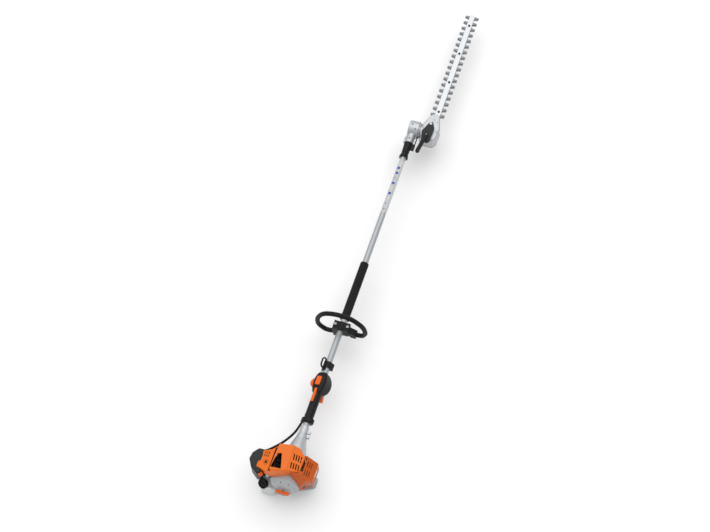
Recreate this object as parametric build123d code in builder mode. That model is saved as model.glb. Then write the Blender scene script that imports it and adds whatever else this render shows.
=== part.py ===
from build123d import *
import os
from math import cos, radians, sin, tan

# Long-reach hedge trimmer lying on its engine's foot. +X runs along the pole to the cutter,
# +Y is the air filter's side, +Z is up. The origin is the centre of the foot's underside.
# All sizes are in millimetres.

os.makedirs("parts", exist_ok=True)

# ---- driving dimensions ----
shaft_z = 118.0            # height of the pole's axis over the foot
fit = 0.06                 # radial running clearance of a shaft in its bearing
gap = 0.5                  # clearance between neighbours that move past each other
wall = 2.5                 # wall of the moulded covers

tube_d = 25.4              # drive tube
tube_wall = 1.5
tube_start = 150.0         # tube's end in the clutch housing
drive_shaft_d = 8.0

foot_plan = [(52, -96), (10, -96), (-24, -26), (-52, 2), (-52, 96), (52, 96)]
foot_thickness = 6.0

crank_x = 18.0             # middle of the crank, under the cylinder
bore_d = 38.0
stroke = 24.0
crank_web_r = 20.0
crankcase_r = 36.0
crankcase_x0, crankcase_x1 = -12.0, 50.0
crankcase_top = 32.0       # over the shaft axis
fin_width = 60.0
fin_pitch = 5.0
fin_count = 9
journal_d = 16.0

flywheel_r = 50.0
starter_r = 58.0
starter_x0, starter_x1 = -63.0, -12.5

shroud_top_z = 228.0
shroud_bottom_z = 150.0
wing_bottom_z = 165.0

clutch_flange_r = 40.0
cone_x0, cone_x1 = 50.0, 202.0

handle_x0, handle_x1 = 208.0, 421.0
handle_roll = 22.0         # the handle leans this far towards +Y round the pole
grip_w, grip_h = 35.0, 38.0

clamp_x0, clamp_x1 = 434.0, 472.0
loop_x = 634.0             # plane of the loop handle
loop_tube_d = 19.0
foam_x0, foam_length, foam_d = 670.0, 270.0, 35.0

sleeve_x0, sleeve_length = 1484.0, 76.0
pivot_x = 1640.0           # head's tilt axis
drum_r = 38.0
index_disc_r = 33.0        # toothed disc that the locking sleeve's peg points at
bevel_r = 13.0             # outer pitch radius of every bevel gear
bevel_teeth = 12
bevel_backlash = 0.25

blade_y = -75.0            # cutter's centre line
bar_tip_x = 2350.0
bar_width = 23.0
tooth_pitch = 34.0
tooth_count = 18
tooth_reach = 31.0         # centre line to tooth tip
blade_stroke = 17.0
rest_offset = 3.0          # each blade's place from mid-stroke at rest
blade_thickness = 2.4
blade_gap = 0.4
bar_z = 98.0               # underside of the guide bar


def section(x, y=0.0, z=shaft_z):
    """Plane across the pole at x, its own x towards +Y and its own y up."""
    return Plane(origin=(x, y, z), x_dir=(0, 1, 0), z_dir=(1, 0, 0))


def handle_section(x):
    """Plane across the control handle, leaning with it."""
    lean = radians(handle_roll)
    return Plane(origin=(x, 0, shaft_z), x_dir=(0, cos(lean), -sin(lean)), z_dir=(1, 0, 0))


def handle_side(across=0.0):
    """Plane along the control handle, its own y towards the handle's top."""
    lean = radians(handle_roll)
    left = Vector(0, cos(lean), -sin(lean))
    return Plane(origin=Vector(0, 0, shaft_z) + left * across, x_dir=(1, 0, 0), z_dir=left * -1)


def handle_floor(up):
    """Plane over the handle's axis, its own x along the pole and its own y to the left."""
    lean = radians(handle_roll)
    top = Vector(0, sin(lean), cos(lean))
    return Plane(origin=Vector(0, 0, shaft_z) + top * up, x_dir=(1, 0, 0), z_dir=top)


def fillet_radii(points):
    """Largest smooth arc for each corner of a route: 0.45 of the shorter run."""
    radii = []
    for before, corner, after in zip(points, points[1:], points[2:]):
        run_in = Vector(*corner) - Vector(*before)
        run_out = Vector(*after) - Vector(*corner)
        turn = radians(run_in.get_angle(run_out))
        radii.append(0.45 * min(run_in.length, run_out.length) / tan(turn / 2))
    return radii


# ---- fasteners: made first, so that what they hold is cut to their shape ----
screw_head_r, screw_head_h = 4.0, 3.2
screw_shank_r, screw_shank_l = 2.0, 9.0
starter_screw_spots = [(starter_r - 7.0, angle) for angle in (38, 142, 218, 322)]

with BuildPart() as case_screws:
    with BuildSketch(Plane(origin=(starter_x0 + 12.0, 0, shaft_z), x_dir=(0, 1, 0), z_dir=(1, 0, 0))):
        for radius, angle in starter_screw_spots:
            with Locations((radius * cos(radians(angle)), radius * sin(radians(angle)))):
                Circle(screw_head_r)
    extrude(amount=screw_head_h)
    with BuildSketch(section(starter_x0 + 12.0 + screw_head_h)):
        for radius, angle in starter_screw_spots:
            with Locations((radius * cos(radians(angle)), radius * sin(radians(angle)))):
                Circle(screw_shank_r)
    extrude(amount=screw_shank_l)

# ---- foot and stand: one moulding ----
stand_x0, stand_x1 = 8.0, 44.0
stand_y0, stand_y1 = -90.0, -30.0
stand_top = 92.0

with BuildPart() as support_stand:
    with BuildSketch(Plane.XY):
        with BuildLine():
            Polyline(*foot_plan, close=True)
        make_face()
        fillet(vertices(), 12.0)
    extrude(amount=foot_thickness)
    with BuildSketch(Plane.XY.offset(foot_thickness)):
        with Locations(((stand_x0 + stand_x1) / 2, (stand_y0 + stand_y1) / 2)):
            RectangleRounded(stand_x1 - stand_x0, stand_y1 - stand_y0, 10.0)
    extrude(amount=stand_top - foot_thickness, taper=2.0)
    fillet(faces().filter_by(Plane.XY).sort_by(Axis.Z)[-1].edges(), 5.0)
    with BuildSketch(Plane.XY):
        with Locations(((stand_x0 + stand_x1) / 2, (stand_y0 + stand_y1) / 2)):
            RectangleRounded(stand_x1 - stand_x0 - 12.0, stand_y1 - stand_y0 - 12.0, 6.0)
    extrude(amount=stand_top - 5.0, taper=2.0, mode=Mode.SUBTRACT)
    with BuildSketch(section(starter_x0)):
        Circle(starter_r + 1.0)
    extrude(amount=starter_x1 - starter_x0 + 1.0, mode=Mode.SUBTRACT)

# ---- fuel tank, with a neck for the cap ----
cap_axis = Vector(-0.72, 0.32, 0.62).normalized()
neck_end = Vector(-54.0, 79.0, 91.0)
neck_r = 15.0
neck_bore_r = 10.5
cap_r, cap_h = 20.0, 13.0
cap_plug_l = 9.0
cap_plane = Plane(origin=neck_end, z_dir=cap_axis)


def tank_body(inset):
    """The tank's two blocks, smaller by inset all round."""
    with BuildPart() as body:
        with BuildSketch(Plane.XY.offset(foot_thickness + inset)):
            with Locations((13.0, 36.0)):
                RectangleRounded(86.0 - 2 * inset, 116.0 - 2 * inset, 12.0)
        extrude(amount=74.0 - 2 * inset)
        with BuildSketch(Plane.XY.offset(foot_thickness + inset)):
            with Locations((-34.0, 69.0)):
                RectangleRounded(64.0 - 2 * inset, 58.0 - 2 * inset, 12.0)
        extrude(amount=84.0 - 2 * inset)
        with BuildSketch(section(-80.0)):
            Circle(starter_r + 3.0 + inset)
        extrude(amount=80.0 + starter_x1 + inset, mode=Mode.SUBTRACT)
        with BuildSketch(section(crankcase_x0 - 1.0)):
            Circle(clutch_flange_r + 1.5 + inset)
        extrude(amount=90.0, mode=Mode.SUBTRACT)
    return body.part


with BuildPart() as fuel_tank:
    add(tank_body(0.0))
    with BuildSketch(Plane(origin=neck_end - cap_axis * 26.0, z_dir=cap_axis)):
        Circle(neck_r)
    extrude(amount=26.0)
    add(tank_body(wall), mode=Mode.SUBTRACT)
    with BuildSketch(Plane(origin=neck_end - cap_axis * 30.0, z_dir=cap_axis)):
        Circle(neck_bore_r)
    extrude(amount=31.0, mode=Mode.SUBTRACT)
    with BuildSketch(cap_plane):
        Circle(cap_r + 1.0)
    extrude(amount=40.0, mode=Mode.SUBTRACT)

with BuildPart() as fuel_cap:
    with BuildSketch(cap_plane.offset(0.3)):
        Circle(cap_r)
    extrude(amount=cap_h)
    chamfer(faces().sort_by(Axis(neck_end, cap_axis))[-1].edges(), 2.0)
    with BuildSketch(cap_plane.offset(-cap_plug_l)):
        Circle(neck_bore_r - gap)
    extrude(amount=cap_plug_l + 0.4)
    with BuildSketch(cap_plane.offset(cap_h - 3.5)):
        with PolarLocations(cap_r * 0.55, 2):
            SlotOverall(15.0, 9.0, rotation=90)
    extrude(amount=5.0, mode=Mode.SUBTRACT)

# ---- crankcase, cylinder, plug ----
with BuildPart() as crankcase:
    with BuildSketch(section(crankcase_x0)):
        Circle(crankcase_r)
    extrude(amount=crankcase_x1 - crankcase_x0)
    with BuildSketch(Plane.XY.offset(shaft_z)):
        with Locations((crank_x, 0)):
            Rectangle(56.0, 58.0)
    extrude(amount=crankcase_top)
    with BuildSketch(Plane.XY.offset(shaft_z + crankcase_top)):
        with Locations((crank_x, 0)):
            Rectangle(90.0, 80.0)
    extrude(amount=20.0, mode=Mode.SUBTRACT)
    with BuildSketch(section(crank_x - 12.0)):
        Circle(crank_web_r + 1.5)
    extrude(amount=24.0, mode=Mode.SUBTRACT)
    with BuildSketch(section(crankcase_x0 - 1.0)):
        Circle(journal_d / 2 + fit)
    extrude(amount=crankcase_x1 - crankcase_x0 + 2.0, mode=Mode.SUBTRACT)
    with BuildSketch(Plane.XY.offset(shaft_z)):
        with Locations((crank_x, 0)):
            Circle(bore_d / 2)
    extrude(amount=crankcase_top + 1.0, mode=Mode.SUBTRACT)

cylinder_z = shaft_z + crankcase_top
fin_stack = fin_pitch * fin_count
plug_axis = Vector(-0.35, 0.85, 0.39).normalized()
plug_seat = Vector(crank_x - 4.0, 10.0, cylinder_z + fin_stack - 2.0)
plug_r = 6.0

with BuildPart() as cylinder:
    with BuildSketch(Plane.XY.offset(cylinder_z)):
        with Locations((crank_x, 0)):
            Circle(bore_d / 2 + 5.0)
    extrude(amount=fin_stack)
    for level in range(fin_count):
        with BuildSketch(Plane.XY.offset(cylinder_z + 2.0 + level * fin_pitch)):
            with Locations((crank_x, 0)):
                RectangleRounded(fin_width, fin_width, 8.0)
        extrude(amount=2.2)
    with BuildSketch(Plane.XY.offset(cylinder_z)):
        with Locations((crank_x, 0)):
            Circle(bore_d / 2)
    extrude(amount=fin_stack - 7.0, mode=Mode.SUBTRACT)
    with BuildSketch(Plane(origin=plug_seat, z_dir=plug_axis)):
        Circle(11.0)
    extrude(amount=60.0, mode=Mode.SUBTRACT)

with BuildPart() as spark_plug:
    with BuildSketch(Plane(origin=plug_seat, z_dir=plug_axis)):
        Circle(plug_r)
    extrude(amount=7.0)
    with BuildSketch(Plane(origin=plug_seat + plug_axis * 7.0, z_dir=plug_axis)):
        RegularPolygon(8.0, 6)
    extrude(amount=5.0)
    with BuildSketch(Plane(origin=plug_seat + plug_axis * 12.0, z_dir=plug_axis)):
        Circle(4.5)
    extrude(amount=12.0)

with BuildPart() as plug_boot:
    with BuildSketch(Plane(origin=plug_seat + plug_axis * 12.5, z_dir=plug_axis)):
        Circle(9.0)
    extrude(amount=24.0)
    fillet(faces().sort_by(Axis(plug_seat, plug_axis))[-1].edges(), 4.0)
    with BuildSketch(Plane(origin=plug_seat + plug_axis * 12.0, z_dir=plug_axis)):
        Circle(4.6)
    extrude(amount=12.4, mode=Mode.SUBTRACT)

# ---- crank, piston, flywheel, clutch ----
web_t = 8.0
pin_r = 5.0
crank_throw = stroke / 2
crank_end_x = 68.0
flywheel_x0, flywheel_x1 = -30.0, -16.0

with BuildPart() as crankshaft:
    with BuildSketch(section(-46.0)):
        Circle(journal_d / 2)
    extrude(amount=46.0 + crank_x - 10.0)
    for start in (crank_x - 10.0, crank_x + 10.0 - web_t):
        with BuildSketch(section(start)):
            Circle(crank_web_r)
        extrude(amount=web_t)
    with BuildSketch(section(crank_x - 3.0)):
        with Locations((0, -crank_throw)):
            Circle(pin_r)
    extrude(amount=6.0)
    with BuildSketch(section(crank_x + 10.0)):
        Circle(journal_d / 2)
    extrude(amount=crank_end_x - crank_x - 10.0)

piston_h = 18.0
piston_bottom = crank_web_r + crank_throw + 2.0

with BuildPart() as piston:
    with BuildSketch(Plane.XY.offset(shaft_z + piston_bottom)):
        with Locations((crank_x, 0)):
            Circle(bore_d / 2 - fit)
    extrude(amount=piston_h)
    with BuildSketch(Plane.XY.offset(shaft_z + piston_bottom)):
        with Locations((crank_x, 0)):
            Circle(bore_d / 2 - 4.0)
    extrude(amount=piston_h - 5.0, mode=Mode.SUBTRACT)
    for groove in (4.0, 8.0):
        with BuildSketch(Plane.XY.offset(shaft_z + piston_bottom + piston_h - groove)):
            with Locations((crank_x, 0)):
                Circle(bore_d / 2)
                Circle(bore_d / 2 - 1.2, mode=Mode.SUBTRACT)
        extrude(amount=1.5, mode=Mode.SUBTRACT)

with BuildPart() as flywheel:
    with BuildSketch(section(flywheel_x0)):
        Circle(flywheel_r)
        Circle(journal_d / 2, mode=Mode.SUBTRACT)
    extrude(amount=6.0)
    with BuildSketch(section(flywheel_x0 + 6.0)):
        Circle(22.0)
        Circle(journal_d / 2, mode=Mode.SUBTRACT)
    extrude(amount=8.0)
    with BuildSketch(section(flywheel_x0 - 6.0)):
        with PolarLocations(34.0, 14):
            Rectangle(26.0, 2.4)
    extrude(amount=6.0)

with BuildPart() as ignition_module:
    with BuildSketch(section(flywheel_x0 + 1.0, y=29.0, z=shaft_z + starter_r + 7.0)):
        RectangleRounded(28.0, 12.0, 3.0)
    extrude(amount=15.0)

shoe_r = 27.0
drum_in_r = 28.5
with BuildPart() as clutch_shoes:
    with BuildSketch(section(54.0)):
        Circle(shoe_r)
        Circle(journal_d / 2, mode=Mode.SUBTRACT)
        Rectangle(80.0, 3.0, mode=Mode.SUBTRACT)
        with Locations((0, 0)):
            Circle(11.0)
            Circle(journal_d / 2, mode=Mode.SUBTRACT)
    extrude(amount=13.0)

hub_r = 9.0
with BuildPart() as clutch_drum:
    with BuildSketch(section(53.0)):
        Circle(31.0)
        Circle(drum_in_r, mode=Mode.SUBTRACT)
    extrude(amount=18.0)
    with BuildSketch(section(71.0)):
        Circle(31.0)
    extrude(amount=3.0)
    with BuildSketch(section(74.0)):
        Circle(hub_r)
        Circle(drive_shaft_d / 2, mode=Mode.SUBTRACT)
    extrude(amount=20.0)

# ---- starter ----
pulley_r = 22.0
rope_d = 3.5
grip_z = 104.0
starter_vents = 10

with BuildPart() as starter_cover:
    with BuildSketch(Plane.XZ):
        with BuildLine():
            Polyline(
                (starter_x1, shaft_z),
                (starter_x1, shaft_z + starter_r),
                (starter_x0 + 16.0, shaft_z + starter_r),
                (starter_x0 + 5.0, shaft_z + starter_r - 9.0),
                (starter_x0, shaft_z + starter_r - 22.0),
                (starter_x0, shaft_z),
                close=True,
            )
        make_face()
    revolve(axis=Axis((0, 0, shaft_z), (1, 0, 0)))
    with BuildSketch(section(starter_x0 + 15.0)):
        Circle(starter_r - 3.5)
    extrude(amount=60.0, mode=Mode.SUBTRACT)
    with BuildSketch(section(starter_x0 + wall)):
        Circle(starter_r - 21.0)
    extrude(amount=20.0, mode=Mode.SUBTRACT)
    with BuildSketch(section(starter_x0 + 4.0)):
        with PolarLocations(starter_r - 14.0, starter_vents, start_angle=9.0):
            SlotOverall(13.0, 4.0)
    extrude(amount=16.0, mode=Mode.SUBTRACT)
    with BuildSketch(section(starter_x0 - 1.0, z=grip_z)):
        Circle(3.0)
    extrude(amount=6.0, mode=Mode.SUBTRACT)
    add(case_screws.part, mode=Mode.SUBTRACT)

with BuildPart() as recoil_spring:
    with BuildSketch(section(starter_x0 + wall + 0.5)):
        for turn in range(4):
            Circle(12.0 + 5.6 * turn)
            Circle(10.4 + 5.6 * turn, mode=Mode.SUBTRACT)
        with Locations((20.0, 0)):
            Rectangle(20.0, 1.6)
    extrude(amount=5.0)

with BuildPart() as starter_pulley:
    with BuildSketch(section(-54.0)):
        Circle(pulley_r + 3.0)
        Circle(5.0, mode=Mode.SUBTRACT)
    extrude(amount=7.0)
    with BuildSketch(section(-52.0)):
        Circle(pulley_r + 4.0)
        Circle(pulley_r, mode=Mode.SUBTRACT)
    extrude(amount=3.6, mode=Mode.SUBTRACT)

with BuildPart() as starter_rope:
    with BuildSketch(section(starter_x0 - 5.0, z=grip_z)):
        Circle(rope_d / 2)
    extrude(amount=7.0)

with BuildPart() as starter_grip:
    with BuildSketch(section(starter_x0 - 17.0, z=grip_z)):
        RectangleRounded(51.0, 15.0, 6.0)
    extrude(amount=12.0)
    fillet(faces().sort_by(Axis.X)[0].edges(), 4.0)
    with BuildSketch(section(starter_x0 - 6.0, z=grip_z)):
        Circle(rope_d / 2)
    extrude(amount=4.0, mode=Mode.SUBTRACT)

# ---- shroud ----
dome_plan = [(64, 50), (73, 0), (68, -31), (56, -42), (46, -54), (-15, -51), (-22, -19), (-35, 1),
             (-46, 56)]
wing_plan = [(62, 46), (42, 72), (30, 104), (12, 100), (-8, 101), (-14, 110), (-33, 110),
             (-46, 68), (-46, 46)]
window_plan = [(25, 43), (30, 29), (-29, 13), (-33, 55)]
slope_tilt = 10.0
muffler_w = 50.0
muffler_x0 = crank_x - muffler_w / 2
muffler_h = 54.0


def shroud_body(inset):
    """Dome over the cylinder with a lower wing over the carburettor, smaller by inset."""
    with BuildPart() as body:
        with BuildSketch(Plane.XY.offset(shroud_bottom_z)):
            with BuildLine():
                Polyline(*dome_plan, close=True)
            make_face()
            fillet(vertices(), 9.0)
            if inset:
                offset(amount=-inset)
        extrude(amount=shroud_top_z - shroud_bottom_z - inset)
        chamfer(faces().sort_by(Axis.Z)[-1].edges(), 5.0)
        with BuildSketch(Plane.XY.offset(wing_bottom_z)):
            with BuildLine():
                Polyline(*wing_plan, close=True)
            make_face()
            fillet(vertices(), 4.0)
            if inset:
                offset(amount=-inset)
        extrude(amount=46.0)
        wing_top = Plane(origin=(0, 60, 208 - inset), x_dir=(1, 0, 0), z_dir=(0, 0.36, 1))
        with BuildSketch(wing_top):
            with Locations((0, 60)):
                Rectangle(160.0, 120.0)
        extrude(amount=40.0, mode=Mode.SUBTRACT)
        right_slope = Plane(origin=(0, -10, shroud_top_z - 4.0 - inset), x_dir=(1, 0, 0),
                            z_dir=(0, -sin(radians(slope_tilt + 12.0)), cos(radians(slope_tilt + 12.0))))
        with BuildSketch(right_slope):
            with Locations((0, -40)):
                Rectangle(180.0, 90.0)
        extrude(amount=60.0, mode=Mode.SUBTRACT)
    return body.part


with BuildPart() as shroud_top:
    add(shroud_body(0.0))
    add(shroud_body(wall), mode=Mode.SUBTRACT)
    with BuildSketch(Plane.XY.offset(shroud_bottom_z - 1.0)):
        with BuildLine():
            Polyline(*dome_plan, close=True)
        make_face()
        fillet(vertices(), 9.0)
        offset(amount=-wall)
    extrude(amount=20.0, mode=Mode.SUBTRACT)
    with BuildSketch(Plane.XY.offset(wing_bottom_z - 1.0)):
        with BuildLine():
            Polyline(*wing_plan, close=True)
        make_face()
        offset(amount=-wall)
    extrude(amount=6.0, mode=Mode.SUBTRACT)
    with BuildSketch(Plane.XY.offset(shroud_top_z - 12.0)):
        with BuildLine():
            Polyline(*window_plan, close=True)
        make_face()
        fillet(vertices(), 3.0)
    extrude(amount=20.0, mode=Mode.SUBTRACT)
    with BuildSketch(Plane.XY.offset(190.0)):
        for row_x in (-2.0, 31.0):
            for column in range(4):
                with Locations((row_x, -17.0 - 9.0 * column)):
                    SlotOverall(24.0, 4.2, rotation=8.0)
    extrude(amount=40.0, mode=Mode.SUBTRACT)
    with BuildSketch(Plane.XY.offset(180.0)):
        for row_x in (14.0, 26.0):
            for column in range(3):
                with Locations((row_x, 78.0 + 7.5 * column)):
                    SlotOverall(10.0, 2.8)
        with Locations((-11.0, 79.0)):
            Circle(6.0)
    extrude(amount=40.0, mode=Mode.SUBTRACT)
    with BuildSketch(section(-70.0)):
        Circle(starter_r + gap)
    extrude(amount=70.0 + starter_x1 + gap, mode=Mode.SUBTRACT)
    with BuildSketch(section(starter_x1)):
        Circle(clutch_flange_r + gap)
    extrude(amount=110.0, mode=Mode.SUBTRACT)
    # the intake and the exhaust pass through the dome's sides
    with BuildSketch(section(0.0)):
        with Locations((54.0, 40.0)):
            Rectangle(20.0, 16.0)
    extrude(amount=36.0, mode=Mode.SUBTRACT)
    with BuildSketch(section(muffler_x0 - 2.0)):
        with Locations((-52.0, 42.0)):
            Rectangle(20.0, 24.0)
    extrude(amount=muffler_w + 4.0, mode=Mode.SUBTRACT)

# ---- muffler and its guard ----
with BuildPart() as muffler:
    with BuildSketch(Plane.XY.offset(114.0)):
        with Locations((crank_x, -64.0)):
            RectangleRounded(muffler_w, 50.0, 9.0)
    extrude(amount=muffler_h)
    fillet(faces().filter_by(Plane.XY).edges(), 5.0)
    with BuildSketch(Plane.XZ.offset(31.5)):
        with Locations((crank_x, 158.0)):
            Rectangle(30.0, 18.0)
    extrude(amount=9.0)
    with BuildSketch(Plane.XZ.offset(80.0)):
        with Locations((crank_x + 8.0, 150.0)):
            Circle(6.0)
    extrude(amount=20.0, mode=Mode.SUBTRACT)


def guard_body(inset):
    """Faceted block round the muffler, smaller by inset on every face but its open sides."""
    corner = Vector(-16.0, -101.0)
    with BuildPart() as body:
        with BuildSketch(Plane.XY.offset(100.0)):
            with BuildLine():
                Polyline((54, -54.6), (52, -101), tuple(corner)[:2], (-46, -60), (-27, -19.5),
                         (-22.6, -19.5), (-15.6, -51.6), (46, -54.6), close=True)
            make_face()
            if inset:
                offset(amount=-inset, kind=Kind.INTERSECTION)
        extrude(amount=106.0 - inset)
        outer_slope = Plane(origin=(0, -62, 203 - inset), x_dir=(1, 0, 0), z_dir=(0, -0.72, 0.70))
        with BuildSketch(outer_slope):
            Rectangle(220.0, 160.0)
        extrude(amount=80.0, mode=Mode.SUBTRACT)
        rear_slope = Plane(origin=(-21, -40, 203 - inset), x_dir=(0, 1, 0), z_dir=(-0.93, 0, 0.36))
        with BuildSketch(rear_slope):
            Rectangle(220.0, 190.0)
        extrude(amount=60.0, mode=Mode.SUBTRACT)
    return body.part


with BuildPart() as muffler_guard:
    add(guard_body(0.0))
    add(guard_body(wall), mode=Mode.SUBTRACT)
    with BuildSketch(Plane.XY.offset(96.0)):
        with Locations((4.0, -62.0)):
            Rectangle(90.0, 73.0)
    extrude(amount=8.0, mode=Mode.SUBTRACT)
    with BuildSketch(Plane.XZ.offset(30.0)):
        with Locations((crank_x, 164.0)):
            Rectangle(54.0, 120.0)
    extrude(amount=32.0, mode=Mode.SUBTRACT)
    with BuildSketch(Plane(origin=(20, -80, 190), x_dir=(1, 0, 0), z_dir=(0, -0.72, 0.70))):
        for row_x in (-24.0, 8.0):
            for column in range(3):
                with Locations((row_x, -9.0 + 10.0 * column)):
                    SlotOverall(24.0, 4.0)
    extrude(amount=20.0, both=True, mode=Mode.SUBTRACT)
    with BuildSketch(Plane.XZ.offset(90.0)):
        with BuildLine():
            Polyline((-8, 112), (44, 112), (44, 142), (8, 142), close=True)
        make_face()
        fillet(vertices(), 3.0)
    extrude(amount=20.0, mode=Mode.SUBTRACT)
    # two openings in the slanted corner wall, over the muffler
    corner_wall = Plane(origin=(-31, -80.5, 125), x_dir=(0.59, -0.807, 0), z_dir=(-0.807, -0.59, 0))
    with BuildSketch(corner_wall):
        with BuildLine():
            Polyline((-19, -13), (-3, -13), (-3, 12), (-15, 8), close=True)
        make_face()
        with BuildLine():
            Polyline((3, -13), (19, -13), (19, 16), (3, 13), close=True)
        make_face()
        fillet(vertices(), 2.0)
    extrude(amount=5.0, both=True, mode=Mode.SUBTRACT)
    with BuildSketch(section(-70.0)):
        Circle(starter_r + gap)
    extrude(amount=70.0 + starter_x1 + gap, mode=Mode.SUBTRACT)

# ---- carburettor side ----
bulb_r = 7.5

with BuildPart() as carburettor:
    with BuildSketch(section(2.0)):
        with Locations((55.0, 163.0 - shaft_z - 7.0)):
            Rectangle(46.0, 16.0)
        with Locations((62.0, 146.0 - shaft_z)):
            Rectangle(32.0, 26.0)
    extrude(amount=32.0)
    with BuildSketch(section(-34.0)):
        with Locations((70.0, 14.0)):
            RectangleRounded(18.0, 22.0, 4.0)
    extrude(amount=37.0)
    with BuildSketch(section(-34.0, y=70.0, z=132.0)):
        Circle(bulb_r + 0.4)
    extrude(amount=5.0, mode=Mode.SUBTRACT)

with BuildPart() as primer_bulb:
    with BuildSketch(section(-34.5, y=70.0, z=132.0)):
        Circle(bulb_r)
    extrude(amount=-7.0)
    fillet(faces().sort_by(Axis.X)[0].edges(), 5.0)

with BuildPart() as filter_base:
    with BuildSketch(Plane.XZ.offset(-79.0)):
        with Locations((-1.0, 137.0)):
            RectangleRounded(74.0, 50.0, 8.0)
        with Locations((18.0, 146.0)):
            Circle(9.0, mode=Mode.SUBTRACT)
    extrude(amount=-5.0)

with BuildPart() as filter_element:
    with BuildSketch(Plane.XY.offset(116.0)):
        with Locations((-2.0, 101.0)):
            Rectangle(54.0, 33.0)
        with Locations(*[(-26.0 + 6.0 * pleat, 117.5) for pleat in range(9)]):
            Rectangle(2.4, 22.0, mode=Mode.SUBTRACT)
    extrude(amount=40.0)

cover_plan = [(40, 86.5), (38, 124), (16, 142), (-10, 146), (-38, 130), (-56, 104), (-58, 86.5)]


def cover_body(inset):
    """Rounded air filter cover, smaller by inset."""
    with BuildPart() as body:
        with BuildSketch(Plane.XY.offset(108.0 + inset)):
            with BuildLine():
                Polyline(*cover_plan, close=True)
            make_face()
            fillet(vertices(), 9.0)
            if inset:
                offset(amount=-inset)
        extrude(amount=80.0 - 2 * inset)
        chamfer(faces().filter_by(Plane.XY).edges(), 5.0)
    return body.part


knob_y, knob_z = 90.0, 172.0
with BuildPart() as filter_cover:
    add(cover_body(0.0))
    add(cover_body(wall), mode=Mode.SUBTRACT)
    with BuildSketch(Plane.XY.offset(wing_bottom_z - 1.5)):
        with BuildLine():
            Polyline(*wing_plan, close=True)
        make_face()
        fillet(vertices(), 4.0)
        offset(amount=1.0)
    extrude(amount=60.0, mode=Mode.SUBTRACT)
    with BuildSketch(Plane.XZ.offset(-80.0)):
        with Locations((-1.0, 136.0)):
            Rectangle(68.0, 42.0)
    extrude(amount=-12.0, mode=Mode.SUBTRACT)
    with BuildSketch(section(-62.0, y=knob_y, z=knob_z)):
        Circle(12.5)
    extrude(amount=28.0, mode=Mode.SUBTRACT)
    with BuildSketch(Plane(origin=neck_end, z_dir=cap_axis)):
        Circle(cap_r + 1.5)
    extrude(amount=30.0, mode=Mode.SUBTRACT)

with BuildPart() as choke_lever:
    with BuildSketch(section(-54.0, y=knob_y, z=knob_z)):
        Circle(10.5)
    extrude(amount=7.0)
    with BuildSketch(section(-59.0, y=knob_y, z=knob_z)):
        SlotOverall(20.0, 6.0, rotation=60)
    extrude(amount=5.0)
    with BuildSketch(section(-47.0, y=knob_y, z=knob_z)):
        Circle(3.0)
    extrude(amount=8.0)

with BuildPart() as shroud_hole_cut:
    with BuildSketch(section(-62.0, y=knob_y, z=knob_z)):
        Circle(11.5)
    extrude(amount=24.0)
shroud_top.part = shroud_top.part - shroud_hole_cut.part

# ---- clutch housing: the cone that carries the pole ----
with BuildPart() as clutch_housing:
    with BuildSketch(Plane.XZ):
        with BuildLine():
            Polyline(
                (cone_x0 + gap, shaft_z),
                (cone_x0 + gap, shaft_z + clutch_flange_r),
                (80.0, shaft_z + clutch_flange_r),
                (106.0, shaft_z + 33.0),
                (141.0, shaft_z + 22.0),
                (165.0, shaft_z + 17.0),
                (cone_x1 - 10.5, shaft_z + 16.5),
                (cone_x1 - 10.5, shaft_z),
                close=True,
            )
        make_face()
    revolve(axis=Axis((0, 0, shaft_z), (1, 0, 0)))
    with BuildSketch(section(168.0, y=-20.0)):
        RectangleRounded(18.0, 14.0, 3.0)
    extrude(amount=9.0)
    with BuildSketch(section(150.0, y=-21.0)):
        RectangleRounded(16.0, 14.0, 3.0)
    extrude(amount=9.0)
    with BuildSketch(section(cone_x0 - 1.0)):
        Circle(33.0)
    extrude(amount=27.0, mode=Mode.SUBTRACT)
    with BuildSketch(section(cone_x0)):
        Circle(hub_r + fit)
    extrude(amount=50.0, mode=Mode.SUBTRACT)
    with BuildSketch(section(98.0)):
        Circle(12.0)
    extrude(amount=60.0, mode=Mode.SUBTRACT)
    with BuildSketch(section(tube_start)):
        Circle(tube_d / 2)
    extrude(amount=60.0, mode=Mode.SUBTRACT)

# ---- pole ----
socket_x0, socket_x1 = sleeve_x0 + sleeve_length + 2.0, pivot_x - 30.0
tube_end = socket_x0 + 34.0
pinion_x = pivot_x - bevel_r

with BuildPart() as drive_tube:
    with BuildSketch(section(tube_start)):
        Circle(tube_d / 2)
        Circle(tube_d / 2 - tube_wall, mode=Mode.SUBTRACT)
    extrude(amount=tube_end - tube_start)

with BuildPart() as drive_shaft:
    with BuildSketch(section(74.5)):
        Circle(drive_shaft_d / 2)
    extrude(amount=pinion_x - 12.0 - 74.5)

bushing_count = 6
bushing_length = 20.0
bushing_pitch = (tube_end - tube_start - 60.0) / (bushing_count - 1)

with BuildPart() as shaft_bushings:
    for index in range(bushing_count):
        with BuildSketch(section(tube_start + 20.0 + index * bushing_pitch)):
            Circle(tube_d / 2 - tube_wall)
            Circle(drive_shaft_d / 2 + fit, mode=Mode.SUBTRACT)
        extrude(amount=bushing_length)

with BuildPart() as foam_grip:
    with BuildSketch(section(foam_x0)):
        Circle(foam_d / 2)
    extrude(amount=foam_length)
    with BuildSketch(section(foam_x0)):
        Circle(foam_d / 2 + 1.5)
    extrude(amount=7.0)
    fillet(edges().filter_by(GeomType.CIRCLE).group_by(Axis.X)[-1], 4.0)
    fillet(edges().filter_by(GeomType.CIRCLE).group_by(Axis.X)[0], 1.0)
    with BuildSketch(section(foam_x0 - 1.0)):
        Circle(tube_d / 2)
    extrude(amount=foam_length + 2.0, mode=Mode.SUBTRACT)

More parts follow.
